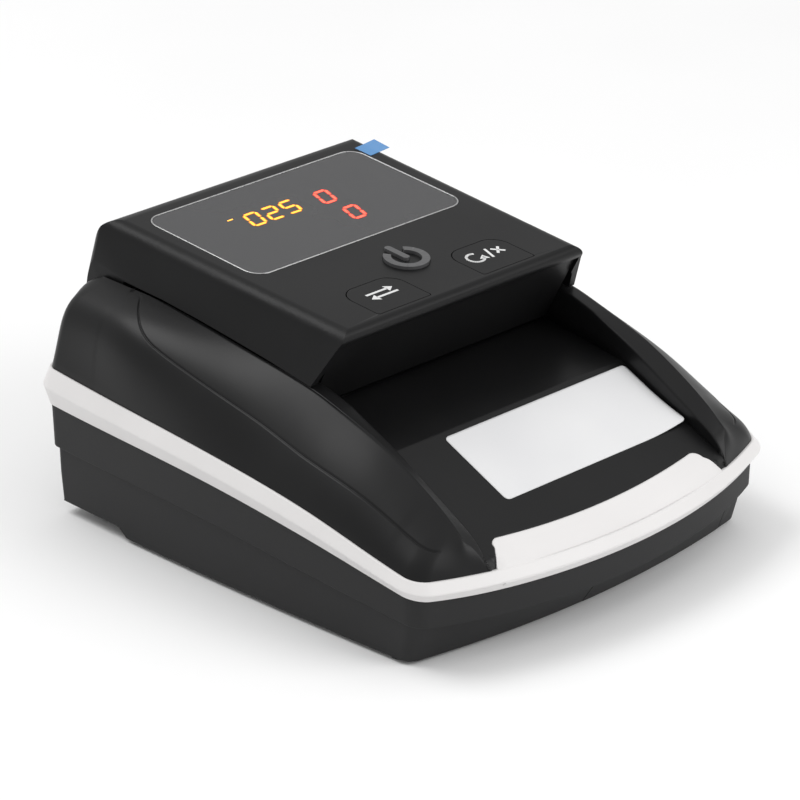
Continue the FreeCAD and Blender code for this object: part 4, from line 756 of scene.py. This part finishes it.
def lip_height(x, y):
    """Height of the lip: the tray floor's slope, rolling over to the ridge in front."""
    inward = y - front_edge(x, 0.0) + RIDGE
    level = floor_z(y) + 0.2
    drop = floor_z(front_edge(x, RIDGE)) + 0.2 - RIDGE_Z
    roll = level - drop * max(1 - inward / ROLL_LENGTH, 0.0) ** 2.4
    beside = RIDGE_Z - 0.1 + 1.34 * inward if inward < RIDGE else RIDGE_Z + 2.4 + 0.9 * (inward - RIDGE)
    return beside + (roll - beside) * smooth((40.0 - abs(x)) / 3.0)


def belt_mesh():
    """The belt's profile swept round the case as an open sheet."""
    verts, faces = [], []
    loops = []
    for grow, share in BELT_PROFILE:
        half = list(half_outline(grow))
        points = half + [(-x, y) for x, y in half[-2:0:-1]] + half[:1]
        loops.append([(x, y, along(BELT_LOW, y) * (1 - share) + along(BELT_TOP, y) * share)
                      for x, y in points])
    add_grid(verts, faces, loops)
    return verts, faces


def lip_mesh():
    """The lip as a closed slab from the belt's ridge up to the tray floor."""
    verts, faces = [], []
    grid = []
    for x in stations(24, np.linspace(37.15, 40.0, 12)):
        front = front_edge(x, RIDGE)
        rear = lip_edge(x) - 0.18
        row = [(x, front, RIDGE_Z - 0.1)]
        for k in range(1, LIP_ROWS + 1):
            y = front + (rear - front) * (k / LIP_ROWS) ** 1.3
            row.append((x, y, lip_height(x, y) - (0.12 if k == LIP_ROWS else 0.0)))
        row.append((x, rear + 0.05, row[-1][2] - 0.25))
        grid.append(row)
    add_slab(verts, faces, grid, LIP_THICK, LIP_THICK)
    return verts, faces


belt = mesh_object("belt_band", *belt_mesh())
solidify(belt, 1.0)
finished(belt, WHITE, "base")
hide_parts("belt_trim")
lip = mesh_object("front_lip", *lip_mesh())
finished(lip, WHITE, "base")


# ---------------------------------------------------------------------------
# Label on the tray floor, one corner lifting
# ---------------------------------------------------------------------------

LABEL_X = (-22.6, 41.8)
LABEL_Y = (-53.0, -31.6)
LABEL_CORNER = 1.3
LABEL_COLUMNS = 97
LABEL_ROWS = 45
LABEL_THICK = 0.11


def label_mesh():
    """Sheet with round corners on the tray floor; its right front corner curls up a little."""
    (x0, x1), (y0, y1), r = LABEL_X, LABEL_Y, LABEL_CORNER
    verts = []
    for j in range(LABEL_ROWS):
        for i in range(LABEL_COLUMNS):
            x = x0 + (x1 - x0) * i / (LABEL_COLUMNS - 1)
            y = y0 + (y1 - y0) * j / (LABEL_ROWS - 1)
            cx = min(max(x, x0 + r), x1 - r)
            cy = min(max(y, y0 + r), y1 - r)
            d = math.hypot(x - cx, y - cy)
            if d > r:
                x, y = cx + (x - cx) * r / d, cy + (y - cy) * r / d
            lift = max(0.0, 1 - math.hypot(x - x1, (y - y0) * 1.1) / 15.0)
            verts.append((x, y, floor_z(y) + LABEL_THICK + 0.03 + 1.3 * lift ** 2))
    return verts, grid_faces(LABEL_ROWS, LABEL_COLUMNS)


label = mesh_object("blank_label", *label_mesh())
solidify(label, LABEL_THICK)
finished(label, PAPER, "base")
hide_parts("tray_label")


# ---------------------------------------------------------------------------
# Display: border line, lit digits, key marks
# ---------------------------------------------------------------------------

CORNER_STEPS = 10
WINDOW_CORNER = 4.9
# Across the border line: inset from the window's edge, and height above the top face
BORDER_PROFILE = ((0.02, -0.05), (0.05, 0.10), (0.15, 0.14), (0.30, 0.14), (0.40, 0.10), (0.42, -0.05))


def window_loop(inset):
    """Points round the window's edge, this far inside it, with round corners."""
    r = WINDOW_CORNER - inset
    half = WINDOW_HALF - inset - r
    front = WINDOW_FRONT + inset + r
    rear = WINDOW_REAR - inset - r
    centres = [(half, rear), (-half, rear), (-half, front), (half, front)]
    points = []
    for quarter, (cx, cv) in enumerate(centres):
        for k in range(CORNER_STEPS + 1):
            a = math.radians(90 * (quarter + k / CORNER_STEPS))
            points.append((cx + r * math.cos(a), cv + r * math.sin(a)))
    return points


def border_mesh():
    """Raised silver line round the display window."""
    loops = [[on_top(x, v, w) for x, v in window_loop(inset)] for inset, w in BORDER_PROFILE]
    count = len(loops[0])
    verts = [point for loop in loops for point in loop]
    faces = []
    for k in range(len(loops)):
        nxt = (k + 1) % len(loops)
        for i in range(count):
            j = (i + 1) % count
            faces.append((k * count + i, k * count + j, nxt * count + j, nxt * count + i))
    return verts, faces


finished(mesh_object("display_border", *border_mesh()), SILVER, "head")

# Segments: start and end in units of half the digit's height, x across and v up
SEGMENTS = {"a": ((0, 2), (1, 2)), "b": ((1, 2), (1, 1)), "c": ((1, 1), (1, 0)), "d": ((0, 0), (1, 0)),
            "e": ((0, 1), (0, 0)), "f": ((0, 2), (0, 1)), "g": ((0, 1), (1, 1))}
DIGITS = {"0": "abcdef", "2": "abged", "5": "afgcd"}
DIGIT_TALL = 6.3
DIGIT_WIDE = 3.9
DIGIT_LEAN = 0.27
STROKE = 0.62
HALO_STROKE = 1.25
SEGMENT_GAP = 0.22        # from a corner of the digit to a segment's end
GLASS_W = 0.012           # the lit figures' height over the window, and how far they reach below it
GLASS_DEPTH = -0.015


def slab(outline, low, high):
    """Closed solid over an outline of (x, v) on the top face."""
    count = len(outline)
    verts = [on_top(x, v, low) for x, v in outline] + [on_top(x, v, high) for x, v in outline]
    faces = [tuple(range(count - 1, -1, -1)), tuple(range(count, 2 * count))]
    faces += [(i, (i + 1) % count, count + (i + 1) % count, count + i) for i in range(count)]
    return verts, faces


def joined(parts):
    """One mesh from several."""
    verts, faces = [], []
    for more, sides in parts:
        start = len(verts)
        verts.extend(more)
        faces.extend(tuple(start + i for i in f) for f in sides)
    return verts, faces


def digit_parts(text, x, v, width, top):
    """The slabs of one digit's lit segments, with its lower left corner at x, v."""
    parts = []
    for name in DIGITS[text]:
        ends = []
        for a, b in SEGMENTS[name]:
            up = b * DIGIT_TALL / 2
            ends.append(np.array([x + a * DIGIT_WIDE + up * DIGIT_LEAN, v + up]))
        p, q = ends
        way = (q - p) / np.linalg.norm(q - p)
        side = np.array([-way[1], way[0]]) * width / 2
        spare = SEGMENT_GAP - (width - STROKE) / 2
        p, q = p + way * spare, q - way * spare
        tip = way * width / 2
        outline = [p, p + tip + side, q - tip + side, q, q - tip - side, p + tip - side]
        parts.append(slab([tuple(o) for o in outline], GLASS_DEPTH, top))
    return parts


def top_v(y):
    """Place up the slope of the top face that lies at y."""
    return (y - TOP_Y) / math.cos(TILT)


def display_figures(width, top):
    """Amber and red figures with strokes of one width."""
    amber = []
    for k, text in enumerate("025"):
        amber += digit_parts(text, -16.5 + 6.1 * k, top_v(41.0), width, top)
    red = []
    for x, y in ((9.9, 43.2), (9.6, 32.1)):
        left = x - DIGIT_WIDE / 2 - DIGIT_TALL / 2 * DIGIT_LEAN
        red += digit_parts("0", left, top_v(y) - DIGIT_TALL / 2, width, top)
    return amber, red


def dash(x, v):
    """Short lit dash with its middle at x, v."""
    outline = [(x - 0.9, v - 0.2), (x + 0.9, v - 0.2), (x + 0.9, v + 0.2), (x - 0.9, v + 0.2)]
    return slab(outline, GLASS_DEPTH, GLASS_W)


def printed(name, parts, material, body):
    """Flat figures on the head as one piece."""
    finished(mesh_object(name, *joined(parts), smooth_faces=False), material, body)


amber_parts, red_parts = display_figures(STROKE, GLASS_W)
amber_parts.append(dash(-19.2, top_v(47.4)))
printed("digits_amber", amber_parts, AMBER, "head")
printed("digits_red", red_parts, RED, "head")
# Painted glow: wider, faintly lit strokes just under the digits stand in for the light spreading round them
amber_parts, red_parts = display_figures(HALO_STROKE, GLASS_W - 0.008)
printed("halo_amber", amber_parts, AMBER_HALO, "head")
printed("halo_red", red_parts, RED_HALO, "head")

MARK_W = 0.03             # thickness of the print on the keys
MARK_STROKE = 0.75


def stroke(points, width):
    """Flat printed line through points of the top face."""
    parts = []
    for p, q in zip(points, points[1:]):
        p, q = np.array(p), np.array(q)
        way = (q - p) / np.linalg.norm(q - p)
        side = np.array([-way[1], way[0]]) * width / 2
        p, q = p - way * width * 0.2, q + way * width * 0.2
        parts.append(slab([tuple(c) for c in (p + side, p - side, q - side, q + side)], 0.0, MARK_W))
    return parts


def arrow_head(tip, direction, size):
    """Flat triangle at the end of an arrow."""
    way = np.array(direction) / np.linalg.norm(direction)
    side = np.array([-way[1], way[0]])
    tip = np.array(tip)
    back = tip - way * size
    half = side * size * 0.7
    return [slab([tuple(c) for c in (tip, back + half, back - half)], 0.0, MARK_W)]


def swap_mark(x, v):
    """Two arrows pointing opposite ways."""
    parts = []
    for side in (1, -1):
        level = v + side * 1.15
        parts += stroke([(x - side * 4.2, level), (x + side * 2.6, level)], MARK_STROKE)
        parts += arrow_head((x + side * 4.6, level), (side, 0), 2.1)
    return parts


def repeat_mark(x, v):
    """An arrow bent round into a loop, a slanting stroke and a cross."""
    ring = []
    for k in range(21):
        a = math.radians(60 + 285 * k / 20)
        ring.append((x - 2.2 + 2.3 * math.cos(a), v + 2.3 * math.sin(a)))
    parts = stroke(ring, MARK_STROKE)
    end, before = np.array(ring[-1]), np.array(ring[-2])
    parts += arrow_head(tuple(end + (end - before) * 1.6), tuple(end - before), 2.0)
    parts += stroke([(x + 2.0, v - 2.2), (x + 3.3, v + 2.2)], 0.7)
    parts += stroke([(x + 4.6, v - 1.3), (x + 7.0, v + 1.3)], MARK_STROKE)
    parts += stroke([(x + 4.6, v + 1.3), (x + 7.0, v - 1.3)], MARK_STROKE)
    return parts


KEY_V = top_v(-6.0)
printed("left_key_mark", swap_mark(-18.3, KEY_V), MARK, "left_key")
printed("right_key_mark", repeat_mark(16.6, KEY_V), MARK, "right_key")


# ---------------------------------------------------------------------------
# Floor, light and camera
# ---------------------------------------------------------------------------

def floor_material():
    """Matt pale floor with faint clouds."""
    material, tree, shader, place = new_material("studio_floor")
    cloud = noise(tree, place, 6.0, 2.0)
    tree.links.new(colour_mix(tree, between(tree, cloud, 0, 1), (0.90, 0.90, 0.90), (0.93, 0.93, 0.93)),
                   shader.inputs["Base Color"])
    shader.inputs["Roughness"].default_value = 0.9
    shader.inputs["Specular IOR Level"].default_value = 0.1
    return material


FLOOR_HALF = 4000
floor_corners = [(x * FLOOR_HALF, y * FLOOR_HALF, 0) for x, y in ((-1, -1), (1, -1), (1, 1), (-1, 1))]
ground = mesh_object("studio_floor", floor_corners, [(0, 1, 2, 3)], smooth_faces=False)
ground.data.materials.append(floor_material())

world = bpy.data.worlds.new("studio")
bpy.context.scene.world = world
world.use_nodes = True
background = world.node_tree.nodes["Background"]
background.inputs["Color"].default_value = (1.0, 1.0, 1.0, 1)
background.inputs["Strength"].default_value = 0.64


MIDDLE = Vector((0.0, 0.0, 0.035))      # the lights aim at the middle of the machine


def softbox(name, position, size, power):
    """Square soft light, in metres and watts."""
    data = bpy.data.lights.new(name, "AREA")
    data.shape = "RECTANGLE"
    data.size = size
    data.size_y = size
    data.energy = power
    light = bpy.data.objects.new(name, data)
    light.location = position
    light.rotation_euler = (MIDDLE - Vector(position)).to_track_quat("-Z", "Y").to_euler()
    bpy.context.collection.objects.link(light)


softbox("overhead", (0.10, -0.15, 1.1), 1.4, 1.6)
softbox("key", (-0.36, 0.48, 0.95), 0.6, 4.6)
softbox("front", (0.45, -0.95, 0.60), 0.7, 5.0)

# The photograph's view: a long lens from the left front, placed by its axes and its position in metres
camera_data = bpy.data.cameras.new("camera")
camera_data.sensor_width = 36.0
camera_data.lens = 197.13
camera = bpy.data.objects.new("camera", camera_data)
camera.matrix_world = Matrix(((0.70865, 0.28142, -0.64701, -0.7143),
                              (-0.70556, 0.28187, -0.65018, -0.7116),
                              (-0.0006, 0.91725, 0.39830, 0.4719),
                              (0, 0, 0, 1)))
bpy.context.collection.objects.link(camera)
bpy.context.scene.camera = camera
bpy.context.scene.view_settings.view_transform = "Standard"
